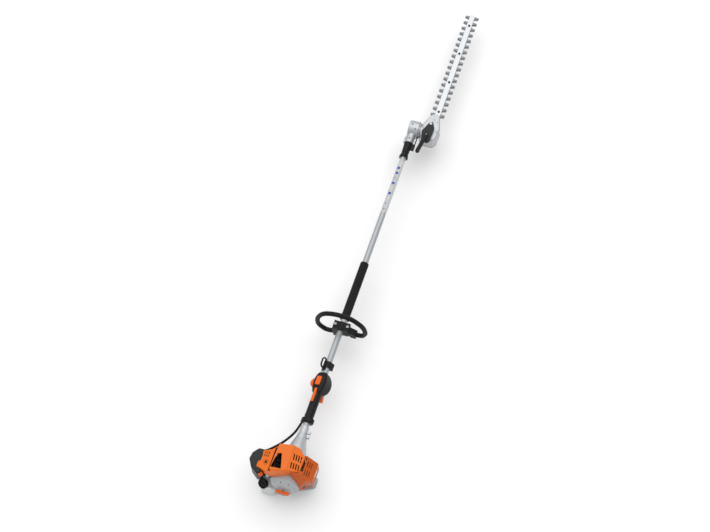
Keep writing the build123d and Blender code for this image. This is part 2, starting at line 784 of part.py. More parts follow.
# ---- control handle ----
head_stations = [
    # x, half width, bottom, top
    (336.0, 17.5, -19.0, 19.5),
    (350.0, 23.0, -36.0, 23.0),
    (376.0, 27.5, -46.0, 25.5),
    (403.0, 25.0, -42.0, 24.0),
    (handle_x1, 17.0, -25.0, 18.0),
]
trigger_w = 11.0
trigger_pivot = (367.0, -27.0)
trigger_pin_r = 2.5
lockout_w = 10.0
lockout_pivot = (347.0, 19.5)
lockout_pin_r = 1.6
button_l, button_w = 37.0, 21.0
button_x = 381.0
wheel_x, wheel_v, wheel_r = 374.0, 17.0, 20.5
wheel_u0, wheel_t = 13.6, 4.0


def handle_head(inset):
    """Swollen front of the control handle, lofted through its stations."""
    with BuildPart() as head:
        for x, half, bottom, top in head_stations:
            last = x == head_stations[-1][0]
            first = x == head_stations[0][0]
            shift = inset if first else (-inset if last else 0.0)
            with BuildSketch(handle_section(x + shift)):
                with Locations((0, (bottom + top) / 2)):
                    RectangleRounded(2 * (half - inset), top - bottom - 2 * inset, half * 0.55)
        loft()
    return head.part


with BuildPart() as handle_whole:
    with BuildSketch(handle_section(handle_x0 + 14.0)):
        Ellipse(grip_w / 2, grip_h / 2)
    extrude(amount=336.0 - handle_x0 - 13.0)
    with BuildSketch(handle_section(handle_x0)):
        Ellipse(26.0, 21.5)
    extrude(amount=17.0)
    fillet(edges().filter_by(GeomType.ELLIPSE).group_by(Axis.X)[0], 3.0)
    add(handle_head(0.0))
    add(handle_head(3.0), mode=Mode.SUBTRACT)
    with BuildSketch(section(336.0)):
        Circle(tube_d / 2 + 2.5)
    extrude(amount=handle_x1 - 337.0)
    with BuildSketch(section(handle_x0 - 1.0)):
        Circle(tube_d / 2)
    extrude(amount=handle_x1 - handle_x0 + 2.0, mode=Mode.SUBTRACT)
    # trigger's slot in the underside
    with BuildSketch(handle_side()):
        with Locations((346.0, -36.0)):
            Rectangle(62.0, 32.0)
    extrude(amount=trigger_w / 2 + gap, both=True, mode=Mode.SUBTRACT)
    # lockout's slot in the top
    with BuildSketch(handle_floor(14.4)):
        with Locations((321.0, 0)):
            Rectangle(66.0, lockout_w + 2 * gap)
    extrude(amount=30.0, mode=Mode.SUBTRACT)
    # stop button's opening
    with BuildSketch(handle_floor(18.2)):
        with Locations((button_x, 0)):
            RectangleRounded(button_l + 2 * gap, button_w + 2 * gap, 5.0)
    extrude(amount=30.0, mode=Mode.SUBTRACT)
    # set wheel's slot in the left side
    with BuildSketch(handle_floor(wheel_u0 - gap)):
        with Locations((wheel_x, wheel_v)):
            Circle(wheel_r + 1.0)
    extrude(amount=wheel_t + 2 * gap, mode=Mode.SUBTRACT)
    # pins that the trigger and the lockout turn on
    with BuildSketch(handle_side()):
        with Locations(trigger_pivot):
            Circle(trigger_pin_r)
    extrude(amount=24.0, both=True)
    with BuildSketch(handle_side()):
        with Locations(lockout_pivot):
            Circle(lockout_pin_r)
    extrude(amount=lockout_w / 2 + gap + 1.0, both=True)

cable_exit_v = 17.0
cable_d = 10.0

with BuildPart() as handle_shell_left:
    add(handle_whole.part)
    split(bisect_by=handle_side(), keep=Keep.BOTTOM)

with BuildPart() as handle_shell_right:
    add(handle_whole.part)
    split(bisect_by=handle_side(), keep=Keep.TOP)

with BuildPart() as throttle_trigger:
    with BuildSketch(handle_side()):
        with BuildLine():
            Polyline((373, -22), (360, -21.5), (343, -29), (326, -36), (319, -44), (322, -50),
                     (336, -46), (352, -42), (372, -33), close=True)
        make_face()
        fillet(vertices(), 2.0)
        with Locations(trigger_pivot):
            Circle(trigger_pin_r + fit, mode=Mode.SUBTRACT)
    extrude(amount=trigger_w / 2, both=True)

with BuildPart() as lockout_lever:
    with BuildSketch(handle_side()):
        with BuildLine():
            Polyline((352, 16.2), (346, 15.6), (292, 20.2), (292, 24.2), (350, 24.6), close=True)
        make_face()
        fillet(vertices(), 1.5)
        with Locations(lockout_pivot):
            Circle(lockout_pin_r + fit, mode=Mode.SUBTRACT)
    extrude(amount=lockout_w / 2, both=True)

with BuildPart() as stop_button:
    with BuildSketch(handle_floor(21.2)):
        with Locations((button_x, 0)):
            RectangleRounded(button_l, button_w, 4.5)
    extrude(amount=8.0)
    fillet(faces().sort_by(Axis((0, 0, 0), handle_floor(0).z_dir))[-1].edges(), 1.5)

with BuildPart() as speed_wheel:
    with BuildSketch(handle_floor(wheel_u0)):
        with Locations((wheel_x, wheel_v)):
            Circle(wheel_r)
            with PolarLocations(wheel_r + 0.6, 24):
                Circle(1.2, mode=Mode.SUBTRACT)
    extrude(amount=wheel_t)

# ---- throttle cable: from the handle's rear end to the carburettor ----
cable_route = [
    (206.5, 20.5, 113.0),
    (170.0, 27.0, 117.0),
    (146.0, 34.5, 125.0),
    (118.0, 46.0, 137.0),
    (92.0, 60.0, 147.0),
    (68.0, 79.0, 154.0),
    (50.0, 96.0, 157.0),
    (44.0, 104.0, 157.5),
]
cable_radii = fillet_radii(cable_route)
with BuildPart() as throttle_cable:
    with BuildLine():
        FilletPolyline(*cable_route, radius=cable_radii)
    first_run = Vector(*cable_route[1]) - Vector(*cable_route[0])
    with BuildSketch(Plane(origin=cable_route[0], z_dir=first_run)):
        Circle(cable_d / 2)
    sweep()

# ---- harness clamp with its eye ----
eye_lean = 30.0
eye_dir = Vector(0, sin(radians(eye_lean)), cos(radians(eye_lean)))
eye_side = Vector(0, cos(radians(eye_lean)), -sin(radians(eye_lean)))
eye_x = (clamp_x0 + clamp_x1) / 2 + 5.0
eye_reach_up = 29.0
clamp_r_out = 18.0

with BuildPart() as carrying_eye:
    with BuildSketch(Plane(origin=Vector(eye_x, 0, shaft_z) + eye_dir * eye_reach_up, x_dir=(1, 0, 0),
                           z_dir=eye_side)):
        SlotOverall(44.0, 29.0)
        SlotOverall(35.0, 20.0, mode=Mode.SUBTRACT)
    extrude(amount=2.6, both=True)

with BuildPart() as harness_clamp:
    with BuildSketch(section(clamp_x0)):
        Circle(clamp_r_out)
        with Locations((-17.5, -4.0)):
            RectangleRounded(12.0, 17.0, 3.0)
        with Locations((8.8, 15.2)):
            Rectangle(9.0, 8.0, rotation=-eye_lean)
        with Locations((-20.0, -4.0)):
            Rectangle(20.0, 2.5, mode=Mode.SUBTRACT)
        Circle(tube_d / 2, mode=Mode.SUBTRACT)
    extrude(amount=clamp_x1 - clamp_x0)
    with BuildSketch(Plane.XZ.offset(-1.0)):
        with Locations((clamp_x0 + 4.0, shaft_z)):
            Rectangle(18.0, 60.0)
    extrude(amount=30.0, mode=Mode.SUBTRACT)
    add(carrying_eye.part, mode=Mode.SUBTRACT)

# ---- loop handle ----
block_x0, block_x1 = loop_x - 19.0, loop_x + 17.0
block_w = 66.0
clamp_r = tube_d / 2 + fit
loop_route = [(32, -46), (66, -54), (99, -24), (101, 26), (74, 82), (16, 104), (-45, 97), (-91, 52),
              (-100, 4), (-86, -24), (-62, -28)]
bolt_y = 25.0

with BuildPart() as loop_clamp_bolts:
    for side in (-bolt_y, bolt_y):
        with BuildSketch(Plane.XY.offset(shaft_z - 22.0)):
            with Locations((loop_x, side)):
                Circle(2.9)
        extrude(amount=40.0)
        with BuildSketch(Plane.XY.offset(shaft_z + 18.0)):
            with Locations((loop_x, side)):
                Circle(5.0)
                RegularPolygon(2.9, 6, mode=Mode.SUBTRACT)
        extrude(amount=5.0)
        with BuildSketch(Plane.XY.offset(shaft_z + 18.0)):
            with Locations((loop_x, side)):
                Circle(5.0)
        extrude(amount=2.0)

with BuildPart() as loop_clamp_cap:
    with BuildSketch(section(block_x0)):
        with Locations((0, 9.2)):
            Rectangle(block_w, 17.6)
        Circle(21.0)
        with Locations((0, -30.0)):
            Rectangle(80.0, 60.8, mode=Mode.SUBTRACT)
        Circle(clamp_r, mode=Mode.SUBTRACT)
    extrude(amount=block_x1 - block_x0)
    fillet(edges().filter_by(Axis.X).group_by(Axis.Z)[-1], 2.0)
    add(loop_clamp_bolts.part, mode=Mode.SUBTRACT)

with BuildPart() as loop_clamp_base:
    with BuildSketch(section(block_x0)):
        with Locations((0, -13.2)):
            Rectangle(block_w, 25.6)
        Circle(clamp_r, mode=Mode.SUBTRACT)
    extrude(amount=block_x1 - block_x0)
    with BuildSketch(section(loop_x - 13.0)):
        with BuildLine():
            Polyline((32, -25), (32, -58), (14, -58), (2, -25), close=True)
        make_face()
        with BuildLine():
            Polyline((-32, -2), (-62, -16), (-62, -40), (-44, -40), (-30, -26), close=True)
        make_face()
    extrude(amount=26.0)
    add(loop_clamp_bolts.part, mode=Mode.SUBTRACT)

loop_radii = fillet_radii([(y, h, 0.0) for y, h in loop_route])
with BuildPart() as loop_handlebar:
    with BuildLine(section(loop_x)):
        FilletPolyline(*loop_route, radius=loop_radii)
    start_run = Vector(0, loop_route[1][0] - loop_route[0][0], loop_route[1][1] - loop_route[0][1])
    with BuildSketch(Plane(origin=(loop_x, loop_route[0][0], shaft_z + loop_route[0][1]),
                           z_dir=start_run)):
        Circle(loop_tube_d / 2)
        Circle(loop_tube_d / 2 - 4.5, mode=Mode.SUBTRACT)
    sweep()
    add(loop_clamp_base.part, mode=Mode.SUBTRACT)

# ---- locking sleeve ----
with BuildPart() as locking_sleeve:
    with BuildSketch(Plane.XZ):
        with BuildLine():
            Polyline(
                (sleeve_x0, shaft_z + tube_d / 2 + fit),
                (sleeve_x0, shaft_z + 19.0),
                (sleeve_x0 + 7.0, shaft_z + 19.0),
                (sleeve_x0 + 20.0, shaft_z + 15.6),
                (sleeve_x0 + 52.0, shaft_z + 16.6),
                (sleeve_x0 + sleeve_length, shaft_z + 18.5),
                (sleeve_x0 + sleeve_length, shaft_z + tube_d / 2 + fit),
                close=True,
            )
        make_face()
    revolve(axis=Axis((0, 0, shaft_z), (1, 0, 0)))
    with BuildSketch(section(sleeve_x0 + 50.0, y=-22.0)):
        RectangleRounded(17.0, 16.0, 5.0)
    extrude(amount=sleeve_length - 50.0)
    with BuildSketch(section(sleeve_x0)):
        Circle(tube_d / 2 + fit)
    extrude(amount=sleeve_length, mode=Mode.SUBTRACT)
    with BuildSketch(section(sleeve_x0 + sleeve_length - 1.0, y=-27.5)):
        Circle(2.4)
    extrude(amount=pivot_x - index_disc_r - sleeve_x0 - sleeve_length + 1.0 - gap)

# ---- gearbox on the pole ----
drum_y0, drum_y1 = -23.5, 20.0
trunnion_r = 17.0
pivot_shaft_r = 8.0
drum_bore_r = 27.0

with BuildPart() as shaft_gearbox:
    with BuildSketch(section(socket_x0)):
        Circle(19.0)
    extrude(amount=pivot_x - socket_x0)
    with BuildSketch(Plane.XZ.offset(-drum_y1)):
        with Locations((pivot_x, shaft_z)):
            Circle(drum_r)
    extrude(amount=drum_y1 - drum_y0)
    fillet(faces().sort_by(Axis.Y)[-1].edges(), 4.0)
    with BuildSketch(Plane.XZ.offset(-drum_y0)):
        with Locations((pivot_x, shaft_z)):
            Circle(trunnion_r)
    extrude(amount=16.0)
    for lug_x in (socket_x0 + 8.0, socket_x0 + 26.0):
        with BuildSketch(Plane.XY.offset(shaft_z - 8.0)):
            with Locations((lug_x, 20.0)):
                RectangleRounded(13.0, 9.0, 3.0)
        extrude(amount=16.0)
    with BuildSketch(section(socket_x0 - 1.0)):
        Circle(tube_d / 2)
    extrude(amount=tube_end - socket_x0 + 1.0, mode=Mode.SUBTRACT)
    with BuildSketch(section(tube_end - 1.0)):
        Circle(9.0)
    extrude(amount=pivot_x - tube_end, mode=Mode.SUBTRACT)
    with BuildSketch(Plane.XZ.offset(-(drum_y1 - 4.0))):
        with Locations((pivot_x, shaft_z)):
            Circle(drum_bore_r)
    extrude(amount=drum_y1 - drum_y0 - 8.0, mode=Mode.SUBTRACT)
    with BuildSketch(Plane.XZ.offset(5.0)):
        with Locations((pivot_x, shaft_z)):
            Circle(pivot_shaft_r + fit)
    extrude(amount=60.0, mode=Mode.SUBTRACT)


face_width = 5.0
with BuildPart() as bevel_tooth:
    for reach, width in ((bevel_r, 1.9), (bevel_r - face_width, 1.1)):
        with BuildSketch(Plane(origin=(reach, 0, -reach), x_dir=(0, 1, 0), z_dir=(-1, 0, 1))):
            Rectangle(width, 1.8)
    loft()


def bevel_gear(hub_r, bore_r):
    """Bevel gear with its apex at the origin, opening along -Z, one tooth on +X."""
    depth = 1.2
    with BuildPart() as gear:
        with BuildSketch(Plane.XZ):
            with BuildLine():
                Polyline(
                    (0, -bevel_r - 5.0),
                    (hub_r, -bevel_r - 5.0),
                    (bevel_r - depth, -bevel_r - depth + 1.0),
                    (bevel_r - face_width - depth, -bevel_r + face_width - depth + 1.0),
                    (0, -bevel_r + face_width - depth + 1.0),
                    close=True,
                )
            make_face()
        revolve(axis=Axis.Z)
        with PolarLocations(0, bevel_teeth):
            add(bevel_tooth.part)
        if bore_r:
            Hole(bore_r)
    return gear.part


pinion_plane = Plane(origin=(pivot_x - bevel_backlash, 0, shaft_z), x_dir=(0, -1, 0), z_dir=(1, 0, 0))
half_turn = Rotation(0, 0, 180.0 / bevel_teeth)
gear_back = bevel_r + 5.0

with BuildPart() as drive_pinion:
    add(bevel_gear(8.0, drive_shaft_d / 2).moved(pinion_plane.location))

with BuildPart() as pivot_gears:
    first_plane = Plane(origin=(pivot_x, 0, shaft_z), x_dir=(-1, 0, 0), z_dir=(0, 1, 0))
    second_plane = Plane(origin=(pivot_x, blade_y, shaft_z), x_dir=(0, 0, -1), z_dir=(0, -1, 0))
    add(bevel_gear(9.0, 0).moved(first_plane.location * half_turn))
    add(bevel_gear(9.0, 0).moved(second_plane.location))
    with BuildSketch(Plane.XZ.offset(gear_back - 1.0)):
        with Locations((pivot_x, shaft_z)):
            Circle(pivot_shaft_r)
    extrude(amount=-blade_y - 2 * gear_back + 2.0)

# ---- cutter head: gearbox, cover, lever ----
base_z, base_t, gasket_t = 84.0, 3.5, 1.0
box_z = base_z + base_t + gasket_t
box_top_z = 140.0
head_plan = [(1592, -58), (1592, -98), (1610, -109), (1664, -111), (1728, -93), (1734, -75),
             (1728, -57), (1694, -43), (1664, -31.5), (1616, -31.5), (1602, -42)]
cover_top_plan = [(1672, -60), (1682, -75), (1650, -89), (1580, -87), (1570, -76), (1580, -50),
                  (1622, -41)]
cover_h = 14.0
cavity_w = 46.4
mouth_w = 26.4
boss_spot = (1667.0, -69.0)
lever_length, lever_w, lever_t = 114.0, 17.0, 10.0
lever_mid = (1558.0, -60.0)
lever_turn = -8.0
lever_screw = (1604.0, -66.5)

with BuildPart() as swivel_lever:
    with BuildSketch(Plane.XY.offset(box_top_z + cover_h)):
        with Locations(lever_mid):
            SlotOverall(lever_length, lever_w, rotation=lever_turn)
    extrude(amount=lever_t)
    fillet(faces().filter_by(Plane.XY).sort_by(Axis.Z)[-1].edges(), 2.5)
    with BuildSketch(Plane.XY.offset(box_top_z + cover_h + lever_t - 3.0)):
        with Locations(lever_screw):
            Circle(5.0)
    extrude(amount=4.0, mode=Mode.SUBTRACT)

with BuildPart() as blade_gearbox:
    with BuildSketch(Plane.XY.offset(box_z)):
        with BuildLine():
            Polyline(*head_plan, close=True)
        make_face()
        fillet(vertices(), 6.0)
    extrude(amount=box_top_z - box_z)
    chamfer(faces().sort_by(Axis.Z)[-1].edges(), 5.0)
    with BuildSketch(Plane.XZ.offset(-drum_y0 + gap)):
        with Locations((pivot_x, shaft_z)):
            Circle(index_disc_r)
            with PolarLocations(index_disc_r, 12):
                Circle(3.2, mode=Mode.SUBTRACT)
    extrude(amount=6.0)
    with BuildSketch(Plane.XZ.offset(-drum_y0 + gap)):
        with Locations((pivot_x, shaft_z)):
            Circle(26.0)
    extrude(amount=18.0)
    with BuildSketch(Plane.XY.offset(box_top_z - 1.0)):
        with Locations(boss_spot):
            Circle(6.0)
    extrude(amount=cover_h + 2.0)
    with BuildSketch(Plane.XZ.offset(-drum_y0 - 1.0)):
        with Locations((pivot_x, shaft_z)):
            Circle(trunnion_r + fit)
    extrude(amount=18.5, mode=Mode.SUBTRACT)
    with BuildSketch(Plane.XZ.offset(-drum_y0 + 15.0)):
        with Locations((pivot_x, shaft_z)):
            Circle(trunnion_r - 0.5)
    extrude(amount=-blade_y + drum_y0 - 15.0, mode=Mode.SUBTRACT)
    with BuildSketch(Plane.XY.offset(bar_z)):
        with Locations((pivot_x, blade_y)):
            Circle(19.0)
    extrude(amount=box_top_z - bar_z - 3.0, mode=Mode.SUBTRACT)
    with BuildSketch(Plane.XY.offset(box_z - 1.0)):
        with Locations((1644.0, blade_y)):
            Rectangle(90.0, cavity_w)
        with Locations((1710.0, blade_y)):
            Rectangle(60.0, mouth_w)
    extrude(amount=bar_z + 3.0 - box_z + 1.0, mode=Mode.SUBTRACT)

with BuildPart() as gearbox_cover:
    with BuildSketch(Plane.XY.offset(box_top_z)):
        with BuildLine():
            Polyline(*cover_top_plan, close=True)
        make_face()
        fillet(vertices(), 5.0)
    extrude(amount=cover_h)
    chamfer(faces().sort_by(Axis.Z)[-1].edges(), 3.0)
    add(blade_gearbox.part, mode=Mode.SUBTRACT)

with BuildPart() as gearbox_gasket:
    with BuildSketch(Plane.XY.offset(base_z + base_t)):
        with BuildLine():
            Polyline(*head_plan, close=True)
        make_face()
        fillet(vertices(), 6.0)
        offset(amount=0.8)
        with Locations((1644.0, blade_y)):
            Rectangle(90.0, cavity_w, mode=Mode.SUBTRACT)
        with Locations((1720.0, blade_y)):
            Rectangle(80.0, mouth_w, mode=Mode.SUBTRACT)
    extrude(amount=gasket_t)

eccentric_throw = blade_stroke / 2
eccentric_r = 8.0
crank_journal_r = 6.0
mesh_clearance = 2.3
upper_z = bar_z - blade_gap - blade_thickness
lower_z = upper_z - blade_gap - blade_thickness

with BuildPart() as gearbox_base:
    with BuildSketch(Plane.XY.offset(base_z)):
        with BuildLine():
            Polyline(*head_plan, close=True)
        make_face()
        fillet(vertices(), 6.0)
        with Locations((pivot_x, blade_y)):
            Circle(crank_journal_r + fit, mode=Mode.SUBTRACT)
    extrude(amount=base_t)

with BuildPart() as crank_gear:
    crank_plane = Plane(origin=(pivot_x, blade_y, shaft_z - mesh_clearance), x_dir=(0, 1, 0),
                        z_dir=(0, 0, 1))
    add(bevel_gear(9.0, 0).moved(crank_plane.location * half_turn))
    with BuildSketch(Plane.XY.offset(base_z + 0.5)):
        with Locations((pivot_x, blade_y)):
            Circle(crank_journal_r)
    extrude(amount=shaft_z - mesh_clearance - gear_back + 1.0 - base_z - 0.5)
    for level, side in ((upper_z, 1), (lower_z, -1)):
        with BuildSketch(Plane.XY.offset(level)):
            with Locations((pivot_x + side * eccentric_throw, blade_y)):
                Circle(eccentric_r)
        extrude(amount=blade_thickness)

# ---- cutter bar and blades ----
bar_start = 1692.0
bar_t = 3.0
first_tooth_x = 1759.0
screw_spots = [1759.0 + 0.5 * tooth_pitch + 5 * tooth_pitch * step for step in range(4)]
bar_screw_r = 3.0
eye_reach = eccentric_throw + eccentric_r + 0.6
blade_width = 25.0
blade_root_x = 1660.0


def toothed_blade(shift):
    """Double-sided blade outline; shift is its place from mid-stroke at rest."""
    low = -blade_stroke / 2 - shift
    high = blade_stroke / 2 - shift
    eye_x0 = pivot_x - eye_reach - high
    eye_x1 = pivot_x + eye_reach - low
    with BuildSketch() as outline:
        with Locations(((blade_root_x + bar_tip_x - 8.0) / 2 + shift, blade_y)):
            SlotOverall(bar_tip_x - 8.0 - blade_root_x, blade_width)
        for index in range(tooth_count):
            x = first_tooth_x + shift + index * tooth_pitch
            for side in (-1, 1):
                with BuildLine():
                    Polyline((x - 8.5, blade_y + side * 10.0), (x - 2.5, blade_y + side * tooth_reach),
                             (x + 3.5, blade_y + side * tooth_reach), (x + 7.5, blade_y + side * 10.0),
                             close=True)
                make_face()
        with Locations(((eye_x0 + eye_x1) / 2 + 4.0, blade_y)):
            Rectangle(eye_x1 - eye_x0 + 18.0, 2 * eye_reach + 10.0)
        with Locations(((eye_x0 + eye_x1) / 2, blade_y)):
            Rectangle(eye_x1 - eye_x0, 2 * eye_reach, mode=Mode.SUBTRACT)
        for x in screw_spots:
            with Locations((x + shift, blade_y)):
                SlotOverall(blade_stroke + 2 * bar_screw_r + 1.0, 2 * bar_screw_r + 0.8,
                            mode=Mode.SUBTRACT)
    return outline.sketch


with BuildPart() as upper_blade:
    with BuildSketch(Plane.XY.offset(upper_z)):
        add(toothed_blade(rest_offset))
    extrude(amount=blade_thickness)

with BuildPart() as lower_blade:
    with BuildSketch(Plane.XY.offset(lower_z)):
        add(toothed_blade(-rest_offset))
    extrude(amount=blade_thickness)

with BuildPart() as guide_bar:
    with BuildSketch(Plane.XY.offset(bar_z)):
        with Locations(((bar_start + bar_tip_x) / 2, blade_y)):
            SlotOverall(bar_tip_x - bar_start, bar_width)
        for x in screw_spots:
            with Locations((x, blade_y)):
                Circle(bar_screw_r, mode=Mode.SUBTRACT)
    extrude(amount=bar_t)

with BuildPart() as bar_screws:
    for x in screw_spots:
        with BuildSketch(Plane.XY.offset(lower_z - 4.0)):
            with Locations((x, blade_y)):
                Circle(bar_screw_r)
        extrude(amount=bar_z + bar_t - lower_z + 4.0)
        with BuildSketch(Plane.XY.offset(lower_z - 4.0)):
            with Locations((x, blade_y)):
                RegularPolygon(6.0, 6)
        extrude(amount=4.0 - blade_gap)
        with BuildSketch(Plane.XY.offset(bar_z + bar_t)):
            with Locations((x, blade_y)):
                Circle(5.0)
        extrude(amount=2.4)

# ---- labels and files ----
pieces = {
    "support_stand": support_stand, "fuel_tank": fuel_tank, "fuel_cap": fuel_cap,
    "crankcase": crankcase, "cylinder": cylinder, "spark_plug": spark_plug, "plug_boot": plug_boot,
    "ignition_module": ignition_module, "crankshaft": crankshaft, "piston": piston,
    "flywheel": flywheel, "clutch_shoes": clutch_shoes, "clutch_drum": clutch_drum,
    "clutch_housing": clutch_housing, "starter_cover": starter_cover,
    "recoil_spring": recoil_spring, "starter_pulley": starter_pulley,
    "starter_rope": starter_rope, "starter_grip": starter_grip, "case_screws": case_screws,
    "shroud_top": shroud_top, "muffler": muffler, "muffler_guard": muffler_guard,
    "carburettor": carburettor, "primer_bulb": primer_bulb, "choke_lever": choke_lever,
    "filter_base": filter_base, "filter_element": filter_element, "filter_cover": filter_cover,
    "drive_tube": drive_tube, "drive_shaft": drive_shaft, "shaft_bushings": shaft_bushings,
    "foam_grip": foam_grip, "handle_shell_left": handle_shell_left,
    "handle_shell_right": handle_shell_right, "throttle_trigger": throttle_trigger,
    "lockout_lever": lockout_lever, "stop_button": stop_button, "speed_wheel": speed_wheel,
    "throttle_cable": throttle_cable, "carrying_eye": carrying_eye,
    "harness_clamp": harness_clamp, "loop_handlebar": loop_handlebar,
    "loop_clamp_base": loop_clamp_base, "loop_clamp_cap": loop_clamp_cap,
    "loop_clamp_bolts": loop_clamp_bolts, "locking_sleeve": locking_sleeve,
    "shaft_gearbox": shaft_gearbox, "drive_pinion": drive_pinion, "pivot_gears": pivot_gears,
    "blade_gearbox": blade_gearbox, "gearbox_cover": gearbox_cover,
    "gearbox_gasket": gearbox_gasket, "gearbox_base": gearbox_base,
    "swivel_lever": swivel_lever, "crank_gear": crank_gear, "guide_bar": guide_bar,
    "bar_screws": bar_screws, "upper_blade": upper_blade, "lower_blade": lower_blade,
}
print(len(pieces), "nodes")
for name, piece in pieces.items():
    piece.part.label = name
    export_step(piece.part, f"parts/{name}.step")
print("cable radii", [round(radius, 1) for radius in cable_radii])
print("loop radii", [round(radius, 1) for radius in loop_radii])
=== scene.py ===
# %% [markdown]
# # Long-reach hedge trimmer: the visible model
#
# The CAD model already holds every hard part at its real size and place. This
# notebook loads it as a fixed frame, gives each part the finish of what it is made
# of, and models the small pieces that give a tool its character: the ribbed cable
# sleeve, the fuel cap's grips, the label film, the screws and the starter rope.

# %% Load the frame
from math import cos, pi, radians, sin

import bpy
from mathutils import Matrix, Vector


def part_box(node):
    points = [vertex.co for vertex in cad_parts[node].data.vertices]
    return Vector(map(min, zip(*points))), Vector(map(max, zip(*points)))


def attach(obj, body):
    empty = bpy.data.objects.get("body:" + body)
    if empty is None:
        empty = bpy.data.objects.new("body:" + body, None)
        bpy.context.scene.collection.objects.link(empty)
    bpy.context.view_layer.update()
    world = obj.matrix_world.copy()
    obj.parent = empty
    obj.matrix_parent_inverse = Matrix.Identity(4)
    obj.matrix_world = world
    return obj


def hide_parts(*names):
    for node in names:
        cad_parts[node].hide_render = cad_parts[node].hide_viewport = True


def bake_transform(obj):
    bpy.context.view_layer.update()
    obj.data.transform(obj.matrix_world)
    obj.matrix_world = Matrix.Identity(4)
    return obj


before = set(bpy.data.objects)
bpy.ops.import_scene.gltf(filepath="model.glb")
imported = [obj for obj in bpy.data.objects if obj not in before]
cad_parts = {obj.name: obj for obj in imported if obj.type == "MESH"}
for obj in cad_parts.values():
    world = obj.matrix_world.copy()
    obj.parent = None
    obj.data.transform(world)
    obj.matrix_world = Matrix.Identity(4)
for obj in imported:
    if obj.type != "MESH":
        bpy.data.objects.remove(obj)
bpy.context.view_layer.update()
mm = 0.001
shaft_z = 118 * mm
pole_low, pole_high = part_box("drive_tube")
tube_r = (pole_high.z - pole_low.z) / 2
print("pole radius in mm", round(tube_r / mm, 2))

# %% [markdown]
# ## The camera first
#
# The tool lies on its foot and is seen from behind and above, with the engine
# nearest. A camera can be placed by hand, or worked out from named angles. Angles
# are used here, so that one number turns the whole view. The long lens keeps the
# far end of the pole from shrinking much.

# %% Camera from its angles
camera_elevation = radians(60.34)
camera_yaw = radians(19.35)
camera_roll = radians(-1.81)
camera_target = Vector((0.9168, 0.0348, shaft_z))
camera_distance = 5.0586
lens = 63.07
sensor_width = 36
far_clip = 60

forward = Vector((cos(camera_yaw) * cos(camera_elevation),
                  sin(camera_yaw) * cos(camera_elevation), -sin(camera_elevation)))
level_right = forward.cross(Vector((0, 0, 1))).normalized()
level_up = level_right.cross(forward)
right = level_right * cos(camera_roll) + level_up * sin(camera_roll)
up = level_up * cos(camera_roll) - level_right * sin(camera_roll)
camera_data = bpy.data.cameras.new("camera")
camera_data.sensor_width = sensor_width
camera_data.lens = lens
camera_data.clip_end = far_clip
camera = bpy.data.objects.new("camera", camera_data)
bpy.context.scene.collection.objects.link(camera)
turn = Matrix((right, up, -forward)).transposed().to_4x4()
camera.matrix_world = Matrix.Translation(camera_target - forward * camera_distance) @ turn
bpy.context.scene.camera = camera
print("camera at", [round(v, 2) for v in camera.location])

# %% [markdown]
# ## Colours, nodes and surfaces
#
# Screens store colour on a curve, and light adds up on a straight line, so every
# hex colour goes through one function that straightens it. Another small function
# adds a shader node with its settings and its links in one line.

# %% Colour, node and surface helpers
def linear(hex_colour):
    """Linear RGBA of an sRGB hex colour."""
    channels = [int(hex_colour[i:i + 2], 16) / 255 for i in (1, 3, 5)]
    return [c / 12.92 if c <= 0.04045 else ((c + 0.055) / 1.055) ** 2.4 for c in channels] + [1]


def add_node(material, kind, links=None, values=None, **settings):
    """A shader node with its settings, its socket values and the links into it."""
    node = material.node_tree.nodes.new(kind)
    for key, value in settings.items():
        setattr(node, key, value)
    for socket, value in (values or {}).items():
        node.inputs[socket].default_value = value
    for socket, source in (links or {}).items():
        material.node_tree.links.new(source, node.inputs[socket])
    return node


def surface(name, colour, roughness, metallic=0.0, ior=None):
    """A material with a Principled shader, and that shader."""
    material = bpy.data.materials.new(name)
    material.use_nodes = True
    shader = material.node_tree.nodes["Principled BSDF"]
    shader.inputs["Base Color"].default_value = linear(colour)
    shader.inputs["Roughness"].default_value = roughness
    shader.inputs["Metallic"].default_value = metallic
    if ior:
        shader.inputs["IOR"].default_value = ior
    return material, shader


# %% [markdown]
# ## Floor and light
#
# A product shot is lit so that the shadow stays soft: a wide sun stands in for a
# large overhead softbox, and a pale world fills from all round. The floor is plain
# matt paper, far larger than the tool.

# %% Paper floor, world and softbox
floor_size = 60.0
floor_middle = (1.0, 0, 0)
world_strength = 0.66
softbox_energy = 1.6
softbox_angle = radians(85)
softbox_aim = Vector((-0.28, -0.1, -1))

bpy.ops.object.select_all(action="DESELECT")
bpy.ops.mesh.primitive_plane_add(size=floor_size, location=floor_middle)
floor = bpy.context.object
floor.name = "floor"
floor_paper, _ = surface("matt white paper", "#F6F6F6", 0.95)
floor.data.materials.append(floor_paper)

world = bpy.data.worlds.new("pale studio")
world.use_nodes = True
world.node_tree.nodes["Background"].inputs["Color"].default_value = linear("#FFFFFF")
world.node_tree.nodes["Background"].inputs["Strength"].default_value = world_strength
bpy.context.scene.world = world

softbox_data = bpy.data.lights.new("overhead softbox", "SUN")
softbox_data.energy = softbox_energy
softbox_data.angle = softbox_angle
softbox = bpy.data.objects.new("overhead softbox", softbox_data)
bpy.context.scene.collection.objects.link(softbox)
softbox.rotation_euler = softbox_aim.to_track_quat("-Z", "Y").to_euler()
bpy.context.scene.view_settings.view_transform = "Standard"
print("sun strength", softbox_energy)

# %% [markdown]
# ## Moulded grain, handling and worn edges
#
# Three things make plastic and metal read as real. The first is grain: a fine noise
# in the bump, sized in millimetres on Object coordinates. The second is handling:
# roughness that drifts from place to place. The third is the edge: no moulded edge
# is sharp, and hands and hedges polish it. A Bevel node rounds each edge in the
# shading, and how far its normal leans from the flat one marks the worn line.

